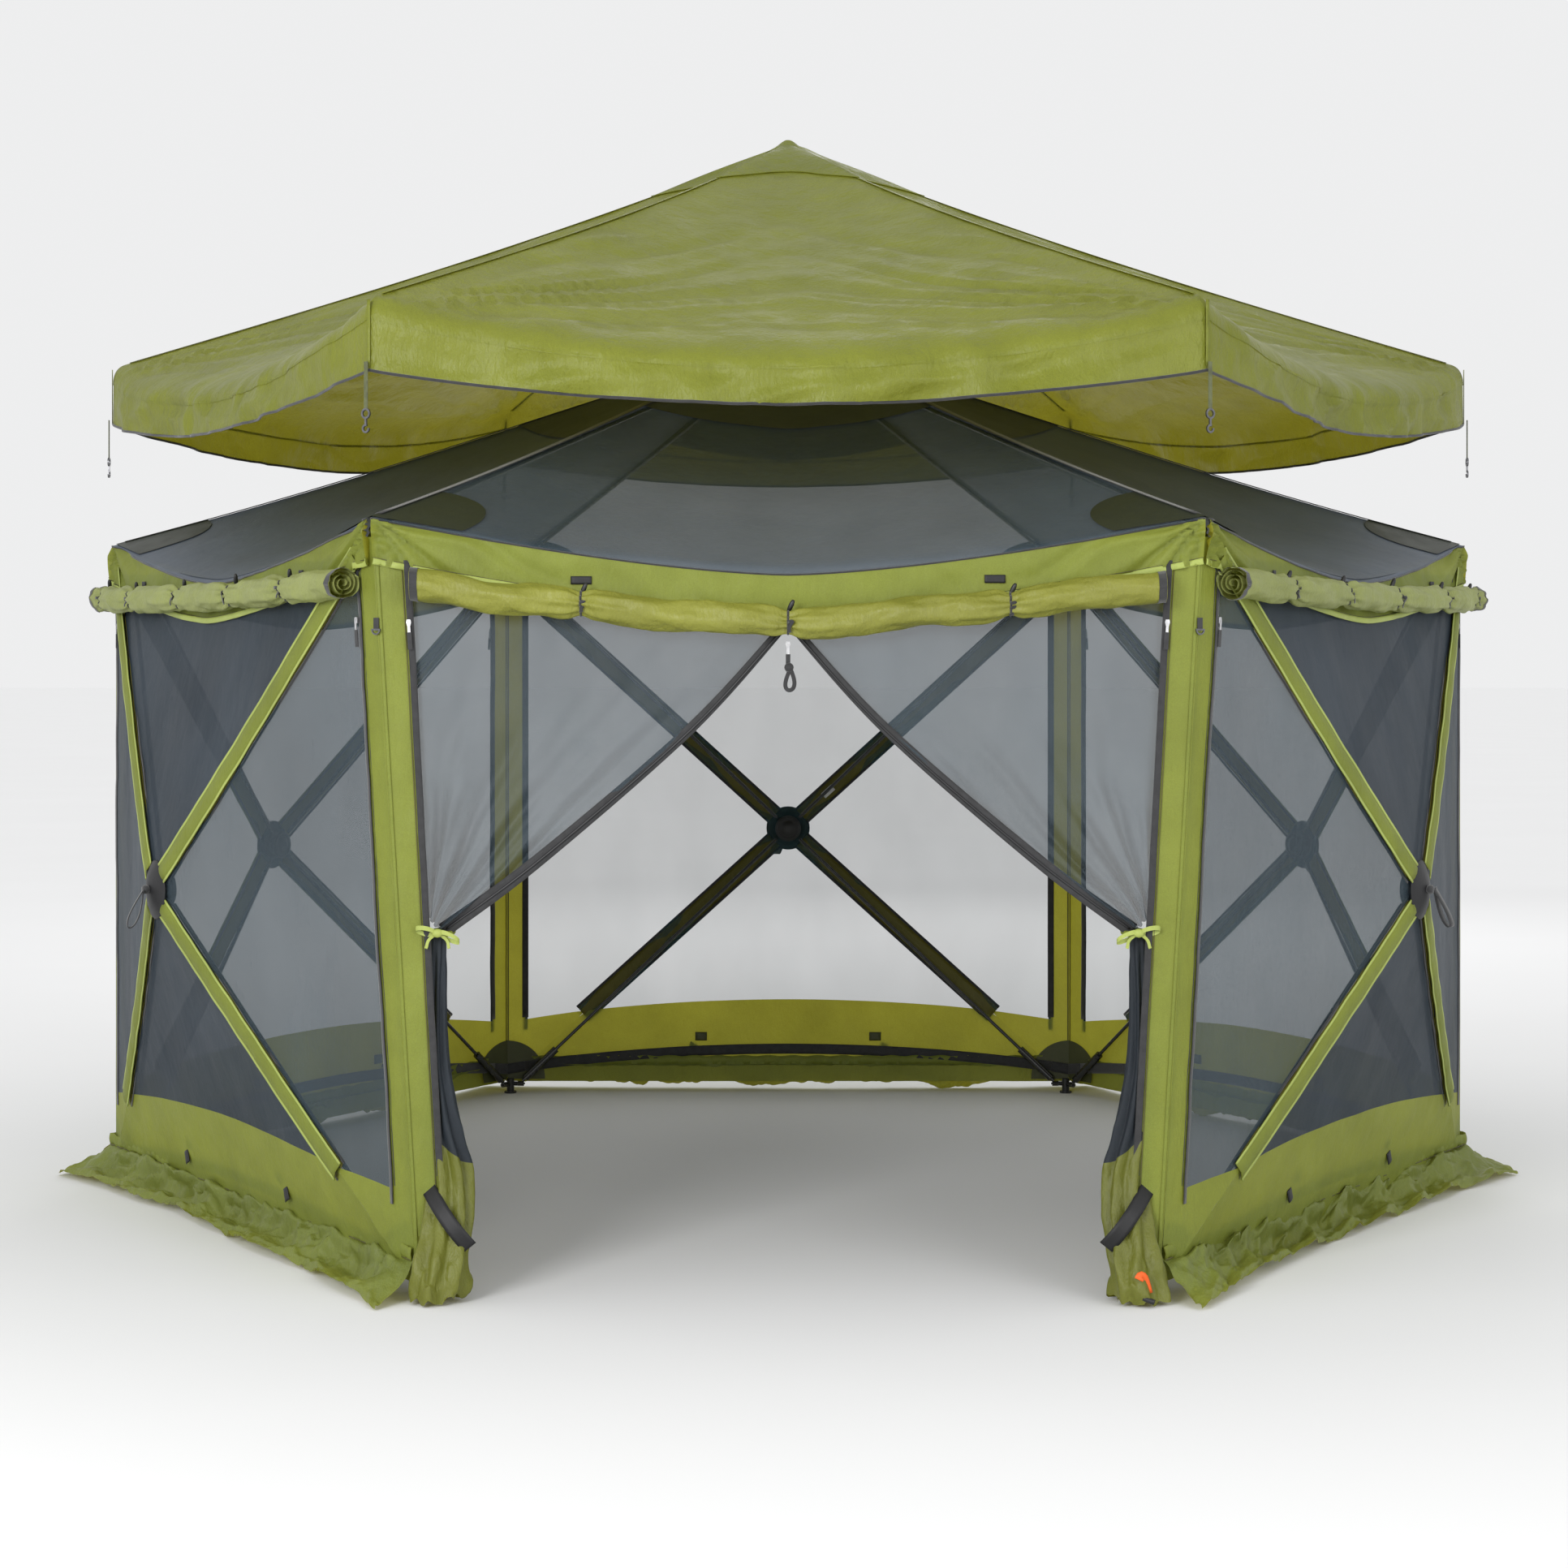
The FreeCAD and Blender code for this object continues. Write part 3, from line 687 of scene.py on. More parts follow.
def pole_sleeves(wall):
    """Cloth sleeves over the poles, green outside and lined with black-edged olive inside."""
    for level, pole, reach in (("upper", upper_pole, 0.93), ("lower", lower_pole, SEAM_U + 0.012)):
        for sign, side in SIDES:
            def at(t, lift):
                u = sign * mix(0.05, reach, t)
                tug = 0.0016 * uneven(t * 14, lift * 90, sign + wall.left)
                return wall.at(u, pole(u), lift + tug)

            across = (at(1, 0) - at(0, 0)).normalized().cross(wall.out).normalized()

            def layer(name, lift, aside, *rest, number=""):
                """One strip of the sleeve: outside the netting where lift is above 0."""
                count, face = (60, wall.out) if lift > 0 else (40, -wall.out)
                run = [p + across * aside for p in curve(lambda t: at(t, lift), count)]
                return tape(f"{wall.name}_{name}_{level}_{side}{number}", run, face, *rest)
            pieces = [layer("sleeve", 0.0015, 0, 0.056, 0.0012, "green", 0.0075),
                      layer("sleeve_lining", -0.0035, 0, 0.050, 0.001, "lining")]
            for n, edge in enumerate((-1, 1)):
                for trim in (("sleeve_border", -0.0062, edge * 0.0285, 0.008, 0.0012, "tape"),
                             ("sleeve_hem", 0.0036, edge * 0.0265, 0.0075, 0.0016, "edging", 0.0008)):
                    pieces.append(layer(*trim, number=f"_{n}"))
            attach(wall.body(level), *pieces)


def wall_hub(wall):
    """The hub spool with its caps, the black patch outside and the webbing pull."""
    centre = wall.at(0, HUB_Z, -0.028)
    spool = disc(f"{wall.name}_hub_spool", centre, wall.out, (
        (0.002, -0.0265), (0.012, -0.026), (0.020, -0.0235), (0.0245, -0.019), (0.026, -0.0185),
        (0.036, -0.018), (0.041, -0.0172), (0.042, -0.016), (0.0415, -0.0142), (0.030, -0.0140),
        (0.026, -0.012), (0.026, 0.012), (0.030, 0.0140), (0.0415, 0.0142), (0.042, 0.016),
        (0.041, 0.018), (0.020, 0.0195), (0.002, 0.020)), "plastic", sides=48)
    ring = disc(f"{wall.name}_hub_ring", centre, -wall.out, (
        (0.030, 0.0176), (0.0305, 0.0205), (0.0335, 0.0212), (0.036, 0.0200), (0.0362, 0.0176)),
        "plastic", sides=48)
    patch = disc(f"{wall.name}_hub_patch", wall.at(0, HUB_Z), wall.out, (
        (0.002, 0.0105), (0.018, 0.0095), (0.034, 0.0060), (0.054, -0.0005), (0.070, -0.0065),
        (0.072, -0.0085), (0.054, -0.0035), (0.034, 0.003), (0.002, 0.0065)), "velcro", sides=36)
    knot_at = wall.at(0, HUB_Z + 0.002, 0.016)
    knot = disc(f"{wall.name}_hub_knot", knot_at, wall.out, (
        (0.002, -0.006), (0.011, -0.0055), (0.014, -0.001), (0.0135, 0.005), (0.010, 0.009),
        (0.002, 0.0105)), "strap", sides=14, squash=0.8)
    hang = knot_at + wall.out * 0.004
    sway = wall.along * (-0.22 if wall.name in ("left", "rear_left") else 0.3)

    def loop_at(t):
        down = 0.092 * sin(pi * t)
        spread = 0.011 * sin(2 * pi * t)
        outward = 0.004 - spread + 0.30 * down
        return hang - UP * down + sway * down + wall.out * outward + wall.along * (spread * 0.4)
    flat_side = wall.out * 0.2 + wall.along
    loop = tape(f"{wall.name}_hub_pull", curve(loop_at, 40), flat_side, 0.0018, 0.0185, "strap")
    attach(wall.body("hub"), spool, ring, patch, knot, loop)
    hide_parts(f"{wall.name}_hub")


# ---------------------------------------------------------------- eave and roof

def sag(u):
    """The line that an edge takes between two corners: 0 at its middle, 1 at a corner."""
    return abs(u) ** 1.5


def hem(u):
    return mix(BAND_HEM[1], BAND_HEM[0], sag(u))


def net_seam(u):
    return mix(NET_SEAM[1], NET_SEAM[0], sag(u))


def rim(u):
    """The turned edge of the roof, just above the green band's seam."""
    return EAVE - 0.108 * (1 - sag(u))


def corner_pull(wall, u, z):
    """Diagonal tension folds that fan out from the eave corners."""
    rise = 0.0
    for sign in (-1, 1):
        x, y = (1 - sign * u) * R / 2, EAVE - z
        reach = hypot(x, y)
        angle = atan2(y, x + 1e-6)
        fade = exp(-reach / 0.30) * min(1.0, reach / 0.03)
        bend = 3 * uneven(angle * 2, reach * 5, wall.left)
        fan = sin(angle * 17 + bend) + 0.5 * sin(angle * 37 + 2 * bend)
        rise += 0.012 * fade * fan
    return rise


def eave_band(wall):
    """The green band under the roof edge, with black piping above and a stitched hem below."""
    def at(u, z, lift=0.0):
        tug = 0.0040 * uneven(u * 16 + z * 22, z * 9, wall.left + 0.5) * (1 - u * u)
        return wall.at(u, z, 0.008 + lift + tug + corner_pull(wall, u, z) + ripple(wall, u, z, 0.8))

    def f(i, j):
        u = 2 * i - 1
        return at(u, mix(hem(u), net_seam(u), j))

    def edge(height, above, lift):
        """A line along the band, a little above its hem or its seam."""
        return curve(lambda t: at(2 * t - 1, height(2 * t - 1) + above, lift), 120)
    band = sheet(f"{wall.name}_eave_band", f, 150, 20, "green", size=(R, 0.14))
    pieces = [
        tube(f"{wall.name}_eave_piping", edge(net_seam, 0.0, 0.001), 0.0020, "tape", sides=8),
        tape(f"{wall.name}_eave_hem", edge(hem, 0.006, 0.0012), wall.out, 0.014, 0.0010, "edging", 0.001),
        tape(f"{wall.name}_eave_stitch", edge(hem, 0.014, 0.0012), wall.out, 0.0016, 0.0006, "inner")]
    width, places = 0.046, ((-0.50, 1.576), (0.50, 1.579))
    if wall.popped:
        width, places = 0.024, ((-0.62, 1.598), (0.62, 1.598))
    for n, (u, z) in enumerate(places):
        run = curve(lambda t: at(u + (t - 0.5) * width / (R / 2), z, 0.002), 8)
        pieces.append(tape(f"{wall.name}_eave_patch_{n}", run, wall.out, 0.018, 0.0022, "velcro"))
    attach("frame", *pieces, band)
    declare(band, pieces)


def roof_point(wall, u, t, lift=0.0):
    """The roof skin from the hub, t = 0, to the rim, t = 1."""
    edge = corner(wall.left, EAVE).lerp(corner(wall.right, EAVE), (u + 1) / 2)
    edge.z = rim(u)
    hub = Vector((0, CENTRE_Y, 2.272))
    p = hub.lerp(edge, mix(0.045, 1.0, t))
    droop = 0.016 * sin(pi * t) * (1 - u * u) + 0.015 * sin(pi * t ** 1.5)
    p.z += lift - droop + (0.006 * wave3(p, 2.5, 8.0) + 0.003 * wave3(p, 8.0, 4.0)) * (1 - abs(u) ** 4)
    return p


def roof_gore(wall):
    """One netting gore, carried over the rim and down to the piped seam."""
    turn = 0.93

    def f(i, j):
        u = 2 * i - 1
        if j < turn:
            return roof_point(wall, u, j / turn)
        share = (j - turn) / (1 - turn)
        z = mix(rim(u), net_seam(u), share)
        side = wall.at(u, z, 0.007 * smooth(share * 2) + corner_pull(wall, u, z) * smooth(share)
                       + ripple(wall, u, z, 0.6) * smooth(share))
        flat = roof_point(wall, u, 1.0)
        flat.z = z
        return flat.lerp(side, smooth(share * 1.6))
    net = "net_gable" if wall.name in ("front", "back") else "net_roof"
    gore = sheet(f"{wall.name}_roof_gore", f, 72, 46, net, size=(R, 1.8))
    attach("frame", gore)
    trims = []
    for n, sign in enumerate((-1, 1)):
        def patch(i, j):
            """A curved piece in the corner of the gore: along its ridge and along its rim."""
            a = i * pi / 2
            reach = mix(0.004, 1.0, j)
            x = 0.20 * reach * cos(a) ** 0.9 if i < 1 else 0.0
            t = 1 - 0.26 * reach * sin(a) / R
            u = sign * (1 - x / (R / 2) / max(0.3, t))
            return roof_point(wall, u, t, 0.003)
        trims.append(sheet(f"{wall.name}_roof_corner_patch_{n}", patch, 14, 8, "roof_patch", size=(0.3, 0.2)))
    ridge = curve(lambda t: roof_point(wall, 1, mix(0.05, 0.985, t), 0.002), 30)
    trims.append(tape(f"{wall.name}_ridge_tape", ridge, UP, 0.020, 0.0010, "tape"))
    attach("frame", *trims, slot="green_cloth")
    declare(gore, trims)
    return gore


def gore_u(k):
    """The place across a gore, from -1 to 1, where k counts the corners."""
    return 2 * (k - floor(k)) - 1


def roof_cap():
    """The doubled netting round the roof hub, under the hub's own dome."""
    def f(i, j):
        k = (i * 6) % 6
        wall = next(w for w in WALLS.values() if w.left == floor(k))
        return roof_point(wall, gore_u(k), mix(0.0, 0.375, j), 0.004)
    cap = sheet("roof_cap", f, 120, 10, "net_cap", size=(2.2, 0.7), wrap=True)
    attach("frame", cap)
    declare(cap)


# ---------------------------------------------------------------- rain fly

# Corner radius; heights of a corner, of the dip between corners below it, and of the peak
FLY_R, FLY_CORNER, FLY_DIP, FLY_PEAK = 1.838, 2.196, 0.105, 2.806
VALANCE = (0.123, 0.152)    # depth of the fly's hanging edge: between corners, at a corner
LIP = 0.045                 # the fly's skin turns over its rim by this much


def fly_rim(k):
    """A point on the fly's rim, which sags between corners, and its place across the gore."""
    low, u = floor(k), gore_u(k)
    p = around(low, FLY_R).lerp(around(low + 1, FLY_R), (u + 1) / 2)
    p -= Vector((p.x, p.y - CENTRE_Y, 0)) * (0.006 * (1 - u * u))
    p.z = FLY_CORNER - FLY_DIP * (1 - u * u) - (0.010 if low in (3, 4, 5) else 0) * (1 - abs(u)) ** 0.5
    return p, u


def fly_point(k, t, lift=0.0):
    """The fly's skin from the peak, t = 0, to the rim, t = 1, slack between its ridges."""
    edge, u = fly_rim(k)
    p = Vector((0, CENTRE_Y, FLY_PEAK)).lerp(edge, t)
    slack = 1 - abs(u) ** 1.6
    p.z -= 0.028 * sin(pi * t ** 0.8) + (0.003 * sin(pi * t) - 0.012 * t) * slack
    x = (1 - abs(u)) * t * FLY_R / 2
    y = (1 - t) * FLY_R
    reach = hypot(x, y)
    angle = atan2(x, y + 1e-6)
    bend = uneven(angle * 3, reach * 2, k // 1)
    fan = sin(angle * 19 + 5 * bend) + 0.6 * sin(angle * 43 + 7 * bend)
    crest = 1 - 1.6 * abs(sin(angle * 10 + 4 * bend)) ** 0.6
    pull = exp(-reach / 0.85) * min(1, reach / 0.05) * min(1, (1 - abs(u)) * 7)
    p.z += (0.011 * fan + 0.010 * crest) * pull
    ridge = sin(t * 38 + 4 * bend) * exp(-(1 - abs(u)) / 0.16) * min(1, (1 - abs(u)) * 12)
    p.z += 0.0040 * ridge * sin(pi * t)
    p.z += (0.012 * wave3(p, 1.6, 3.0) + 0.008 * wave3(p, 5.5, 7.0) + 0.0035 * wave3(p, 13.0, 5.0)) * slack
    return p + UP * lift


def fly_edge(k, drop):
    """The fly below its rim, which hangs and stands out a little where it is slack."""
    p, u = fly_rim(k)
    out = Vector((p.x, p.y - CENTRE_Y, 0)).normalized()
    wide = 0.026 * uneven(k * 5.2, drop * 4, 1.0)
    fine = 0.015 * uneven(k * 17, drop * 9, 6.0)
    crease = 0.009 * uneven(k * 44, drop * 16, 3.0)
    fold = 0.013 * (1 - 2.8 * abs(uneven(k * 9, drop * 12 + k * 3, 8.0)))
    billow = (1 - abs(u) ** 5) * (0.030 + wide + fine + crease + fold)
    return p + out * billow - UP * drop


def fly_turn(u):
    """How far short of the rim the skin starts to turn over, as a share of the gore."""
    return mix(0.055, 0.018, u * u)


def fly_lip(k, w):
    """The soft turn from the gore into the hanging edge, w from 0 to 1."""
    a = fly_point(k, 1 - fly_turn(gore_u(k)))
    b = fly_edge(k, 0.0) + (fly_point(k, 1.0) - fly_rim(k)[0]) * 0.5
    c = fly_edge(k, LIP)
    return a.lerp(b, w).lerp(b.lerp(c, w), w)


def edge_drop(k):
    """Depth of the hanging edge, a little more along the front."""
    front = 0.012 * max(0.0, 1 - abs(k - 4.5) / 1.5)
    return mix(VALANCE[0], VALANCE[1] + front, abs(gore_u(k)) ** 2.4)


def fly_top():
    """The fly's skin with its ridge seams, cap and peak, and a seam at each corner of its edge."""
    turn = 0.86

    def skin(i, j):
        k = i * 6
        if j <= turn:
            return fly_point(k, mix(0.012, 1 - fly_turn(gore_u(k)), j / turn))
        return fly_lip(k, (j - turn) / (1 - turn))

    def cap_reach(k):
        return 0.132 + 0.070 * gore_u(k) * gore_u(k)

    def cap(i, j):
        return fly_point(i * 6, mix(0.012, cap_reach(i * 6), j), 0.0035 + 0.006 * sin(pi * j))

    def cap_edge(t):
        k = t * 6 % 6
        return fly_point(k, cap_reach(k), 0.0035)
    canopy = sheet("fly_skin", skin, 540, 90, "fly", size=(11.0, 1.9), wrap=True)
    trims, edge_seams = [], []
    for k in range(6):
        ridge = curve(lambda t: fly_point(k, mix(0.02, 0.975, t), 0.0008), 40)
        trims.append(tape(f"fly_ridge_seam_{k}", ridge, UP, 0.010, 0.0006, "fly", crown=0.0008))
        post = curve(lambda t: fly_edge(k, mix(0.004, 0.150, t)) + ray(k) * 0.0012, 10)
        edge_seams.append(tape(f"fly_corner_seam_{k}", post, ray(k), 0.009, 0.0008, "fly", crown=0.0006))
    trims += [
        sheet("fly_cap", cap, 180, 10, "fly", size=(1.6, 0.3), wrap=True),
        tube("fly_cap_seam", curve(cap_edge, 180), 0.0016, "fly", sides=6),
        disc("fly_tip", Vector((0, CENTRE_Y, FLY_PEAK)), UP, (
            (0.062, -0.024), (0.040, -0.012), (0.026, -0.002), (0.016, 0.006), (0.008, 0.0105),
            (0.001, 0.0115)), "fly", sides=24)]
    attach("fly", canopy, *trims)
    declare(canopy, trims)
    return canopy, edge_seams


def rain_fly():
    """The fly and its hanging edge, whose pieces get meshes of their own."""
    canopy, edge_seams = fly_top()

    def hanging(i, j):
        k = i * 6
        p = fly_rim(k)[0]
        out = Vector((p.x, p.y - CENTRE_Y, 0)).normalized()
        return fly_edge(k, mix(LIP - 0.006, edge_drop(k), j)) - out * (0.0015 * (1 - j))

    def hem_point(t):
        k = t % 1 * 6
        return fly_edge(k, edge_drop(k) * 0.992)
    valance = sheet("fly_valance_skin", hanging, 540, 12, "fly", size=(11.0, 0.12), wrap=True)
    binding = tube("fly_valance_binding", curve(hem_point, 432), 0.0034, "tape", sides=8)
    edge = (*edge_seams, valance, binding)
    attach("fly", *edge)
    for piece in edge:
        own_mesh(piece)
    declare(valance, [binding, *edge_seams])
    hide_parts("fly_canopy")
    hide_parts("fly_valance")


# ---------------------------------------------------------------- rolled panels

def rolled_panel(wall, centre, radius, ties, material):
    """A rolled-up wind panel: cloth pinched by its ties, with a spiral and binding at each end."""
    name = f"{wall.name}_roll"

    def at(angle, t, scale=1.0):
        """A point on the roll, full between the ties and pinched at each of them."""
        gap = min(abs(t - tie) for tie in ties)
        puff = 0.10 * sin(min(1.0, gap / 0.09) * pi / 2)
        fullness = 0.99 + puff - 0.34 * exp(-(gap / 0.012) ** 2)
        flat = 1 + 0.13 * uneven(cos(angle) * 1.3, sin(angle) * 1.3, t * 11)
        pleat = 0.0040 * uneven(angle * 2.4, t * 34, 4.0)
        twist = 0.0018 * sin(angle * 3 + t * 60)
        gather = 0.0045 * sin(angle * 8 + t * 9) * exp(-gap / 0.04)
        r = radius * fullness * flat * scale + pleat + gather + twist
        return centre(t) + wall.out * (r * cos(angle) * 1.04) + UP * (r * sin(angle) * 0.98)

    def toggle_radius(t):
        return 0.0055 * (1 - 0.5 * abs(2 * t - 1) ** 3)

    body = sheet(f"{name}_cloth", lambda i, j: at(2 * pi * i, j), 40, 190, material,
                 size=(0.2, 2 * ROLL_HALF), wrap=True)
    lip = curve(lambda t: at(2.5 + 0.35 * sin(t * 9), t, 1.03), 120)
    pieces = [body, tape(f"{name}_lip", lip, None, 0.010, 0.0014, material)]
    for n, end in enumerate((0.0, 1.0)):
        inward = 1 if end == 0 else -1

        def spiral(i, j):
            """The wound layers that show at the end of the roll."""
            r = radius * (0.97 - 0.78 * i)
            angle = 2 * pi * 2.6 * i + 0.6
            wobble = 1 + 0.08 * uneven(angle, end * 7, 2)
            middle = centre(end + inward * 0.006 * 0.1 + inward * 0.014 * j)
            return middle + wall.out * (r * cos(angle) * wobble) + UP * (r * sin(angle) * wobble)

        def collar(i, j):
            return at(2 * pi * i, end + inward * 0.006 * (0.1 + 1.7 * j), 1.035)
        pieces += [sheet(f"{name}_spiral_{n}", spiral, 90, 2, material, size=(0.5, 0.02)),
                   sheet(f"{name}_binding_{n}", collar, 40, 3, "tape", size=(0.2, 0.012), wrap=True)]
    for n, tie in enumerate(ties):
        loop = curve(lambda t: at(2 * pi * t, tie, 1.02), 40)
        top = at(1.9, tie, 1.1)
        toggle = line(top, top + UP * 0.026 + wall.along * 0.012 + wall.out * 0.006, 8)
        tail = curve(lambda t: at(0.1 + 0.5 * t, tie + 0.004 * sin(5 * t), 1.25)
                     - UP * 0.036 * t * t + wall.along * 0.01 * t, 8)
        pieces += [tube(f"{name}_tie_{n}", loop, 0.0026, "strap", sides=8),
                   tube(f"{name}_toggle_{n}", toggle, toggle_radius, "plastic"),
                   tape(f"{name}_tie_tail_{n}", tail, wall.out, 0.007, 0.0012, "strap")]
    attach("frame", *pieces)
    return body


def wind_panels():
    """The panels rolled up under the eave of the front, left and right walls."""
    front = WALLS["front"]

    def front_line(t):
        s = 2 * t - 1
        z = 1.482 + 0.082 * abs(s) ** 1.25 + 0.004 * cos(9 * pi * t)
        return front.at(s * ROLL_HALF / (R / 2), z, 0.040)
    body = rolled_panel(front, front_line, 0.0325, (0.225, 0.50, 0.795), "roll")
    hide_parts("wind_rolls")
    left_ties = (0.04, 0.20, 0.42, 0.63, 0.83)
    right_ties = [1 - t for t in reversed(left_ties)]
    for wall, ties in ((WALLS["left"], left_ties), (WALLS["right"], right_ties)):
        def side_line(t):
            s = 2 * t - 1
            front_share = t if wall.name == "left" else 1 - t
            base = corner(wall.left, 1.6).lerp(corner(wall.right, 1.6), (s * 0.873 / (R / 2) + 1) / 2)
            base.z = 1.566 - 0.014 * sin(pi * t) + 0.004 * front_share
            return base + wall.out * (0.078 - 0.024 * abs(s) ** 4)
        rolled_panel(wall, side_line, 0.0315, ties, "roll_side")


# ---------------------------------------------------------------- doorway

EDGE_LINE = ((0.020, 1.470), (0.224, 1.247), (0.554, 0.962), (0.765, 0.806))
TIE_X, TIE_Z = 0.772, 0.803
BOW_X = TIE_X - 0.004
TOE_Z = 0.010               # the tied-back bundle ends here, just above the ground


def free_edge(t):
    """The curtain's free edge, from the middle of the eave hem down to the tie."""
    spans = len(EDGE_LINE) - 1
    n = min(spans - 1, int(t * spans))
    s = t * spans - n
    a, b, c, d = (EDGE_LINE[max(0, min(spans, n + o))] for o in (-1, 0, 1, 2))

    def spline(p, q, r, w):
        return 0.5 * (2 * q + (r - p) * s + (2 * p - 5 * q + 4 * r - w) * s * s
                      + (3 * q - p - 3 * r + w) * s ** 3)
    return tuple(spline(a[i], b[i], c[i], d[i]) for i in (0, 1))


def door_place(sign, x, depth, z):
    """A point x from the doorway's middle, to the side of sign, and depth in front of its plane."""
    return Vector((sign * x, CENTRE_Y - R * cos(pi / 6) - depth, z))


def curtain_netting(sign, name):
    """The netting that hangs from the hem and gathers into its tie, with its edge zip."""
    def hang(i, j):
        """Across the curtain, i from the post to the free edge, and down it, j."""
        tx, tz = free_edge(j)
        outer_z = mix(1.56, TIE_Z + 0.035, j ** 0.9)
        post_x = R / 2 - FOOT_IN * (1 - outer_z / EAVE) - 0.068
        gather = j ** 1.8
        bend = 1.6 * sin(j * 5 + sign) + 1.2 * uneven(i * 3, j * 2.5, sign * 2)
        pleat = 0.021 * gather * sin(i * 24 + bend) + 0.008 * gather * sin(i * 51 + 2 * bend)
        pleat += 0.012 * (1 - gather) * uneven(i * 4, j * 3, sign * 3)
        pleat += 0.006 * uneven(i * 13, j * 9, sign)
        return door_place(sign, mix(post_x, tx, i), -0.014 + pleat * min(1.0, 7 * i + 0.1),
                          mix(outer_z, tz, smooth(i) * 0.5 + i * 0.5))

    def edge(t):
        x, z = free_edge(t)
        return door_place(sign, x - 0.006, -0.010 + 0.008 * sin(t * 11), z)
    net = sheet(f"{name}_netting", hang, 150, 90, "net_door", size=(0.9, 0.9))
    declare(net)
    run = curve(edge, 60)
    zip_tape = tape(f"{name}_edge_tape", run, FORWARD, lambda t: mix(0.018, 0.034, t), 0.0018, "tape")
    teeth = tube(f"{name}_edge_teeth", [p + Vector((sign * -0.008, -0.003, 0.004)) for p in run], 0.0028,
                 "plastic", sides=6)
    return [net, zip_tape, teeth]


def curtain_bundle(sign, name):
    """The gathered netting and cloth below the tie, opening out to a crumpled toe."""
    def bundle(i, j):
        z = mix(TIE_Z + 0.004, TOE_Z, j)
        toe = smooth((j - 0.74) / 0.26)
        spread = 0.020 + 0.031 * smooth((0.62 - z) / 0.45) + 0.012 * toe
        lean = TIE_X + 0.002 - 0.030 * exp(-((z - 0.235) / 0.17) ** 2)
        forward = mix(-0.030, 0.030, smooth((0.30 - z) / 0.26))
        a = 2 * pi * i
        fold = 1 + 0.20 * sin(a * 7 + 2.5 * sin(j * 5)) * smooth(j * 6 + 0.2) * (1 - 0.5 * toe)
        fold += 0.10 * uneven(cos(a) * 3, sin(a) * 3, j * 14)
        lump = Vector((cos(a) * 1.9, sin(a) * 1.9, j * 11 + sign))
        fold += 0.42 * toe * uneven(*lump)
        droop = 0.022 * toe * uneven(*(lump * 2.1))
        return door_place(sign, lean + spread * fold * cos(a) * 0.95,
                          forward + spread * (0.72 + 0.35 * toe) * fold * sin(a), max(0.004, z + droop))

    def split(i):
        """Where the netting ends and the green lower part begins."""
        return 0.60 - 0.045 * cos(2 * pi * i)

    def strip(t):
        """A slanted hook-and-loop strip on the front of the green part."""
        z = mix(0.250, 0.122, t)
        middle = bundle(0.25, (TIE_Z - z) / (TIE_Z - TOE_Z))
        bow = 0.010 * sin(pi * t)
        return Vector((sign * mix(0.797, 0.694, t), middle.y - 0.004 - bow + 0.030 * (2 * t - 1) ** 2, z))
    return [
        sheet(f"{name}_bundle_netting", lambda i, j: bundle(i, split(i) * j), 96, 60, "net_bundle",
              size=(0.5, 0.5), wrap=True),
        # The green lower part takes the darker toe cloth, which holds painted shade.
        sheet(f"{name}_bundle_cloth", lambda i, j: bundle(i, mix(split(i), 1.0, j)), 96, 60, "toe",
              size=(0.5, 0.4), wrap=True),
        tape(f"{name}_bundle_velcro", curve(strip, 24), FORWARD, 0.034, 0.003, "velcro")]


def curtain_bow(sign, name):
    """The green tie round the curtain and its bow."""
    def band(t):
        a = 2 * pi * t
        return door_place(sign, TIE_X + 0.033 * cos(a), -0.030 + 0.026 * sin(a),
                          TIE_Z + 0.004 * sin(2 * a))
    pieces = [tube(f"{name}_tie_band", curve(band, 40), 0.0065, "green")]
    for n, turn in enumerate((-1, 1)):
        def wing(i, j):
            """One loop of the bow: a flattened ring of ribbon, pinched at the knot."""
            a = 2 * pi * i
            reach = 0.022 * (1 - cos(a))
            thick = 0.009 * sin(a)
            droop = (0.30 * turn - 0.12) * reach
            return door_place(sign, BOW_X + turn * (0.004 + reach), 0.012 + thick,
                              TIE_Z + droop + thick * 0.8 + (j - 0.5) * 0.010)

        def tail(t):
            return door_place(sign, BOW_X + turn * (0.030 * t + 0.006 * sin(4 * t)),
                              0.014 - 0.006 * sin(3 * t), TIE_Z - 0.034 * t)
        pieces += [sheet(f"{name}_bow_{n}", wing, 28, 4, "edging", size=(0.12, 0.02)),
                   tape(f"{name}_bow_tail_{n}", curve(tail, 10), FORWARD, 0.007, 0.0012, "edging")]
    knot = disc(f"{name}_bow_knot", door_place(sign, BOW_X, 0.012, TIE_Z), FORWARD, (
        (0.002, -0.004), (0.011, -0.003), (0.0125, 0.003), (0.009, 0.007), (0.002, 0.009)), "edging",
        sides=12, squash=0.8)
    return [*pieces, knot]


def door_curtain(sign, name):
    """Half of the netting door, tied back at its post."""
    pieces = curtain_netting(sign, name) + curtain_bundle(sign, name) + curtain_bow(sign, name)
    attach("frame", *pieces)
    return pieces[0]


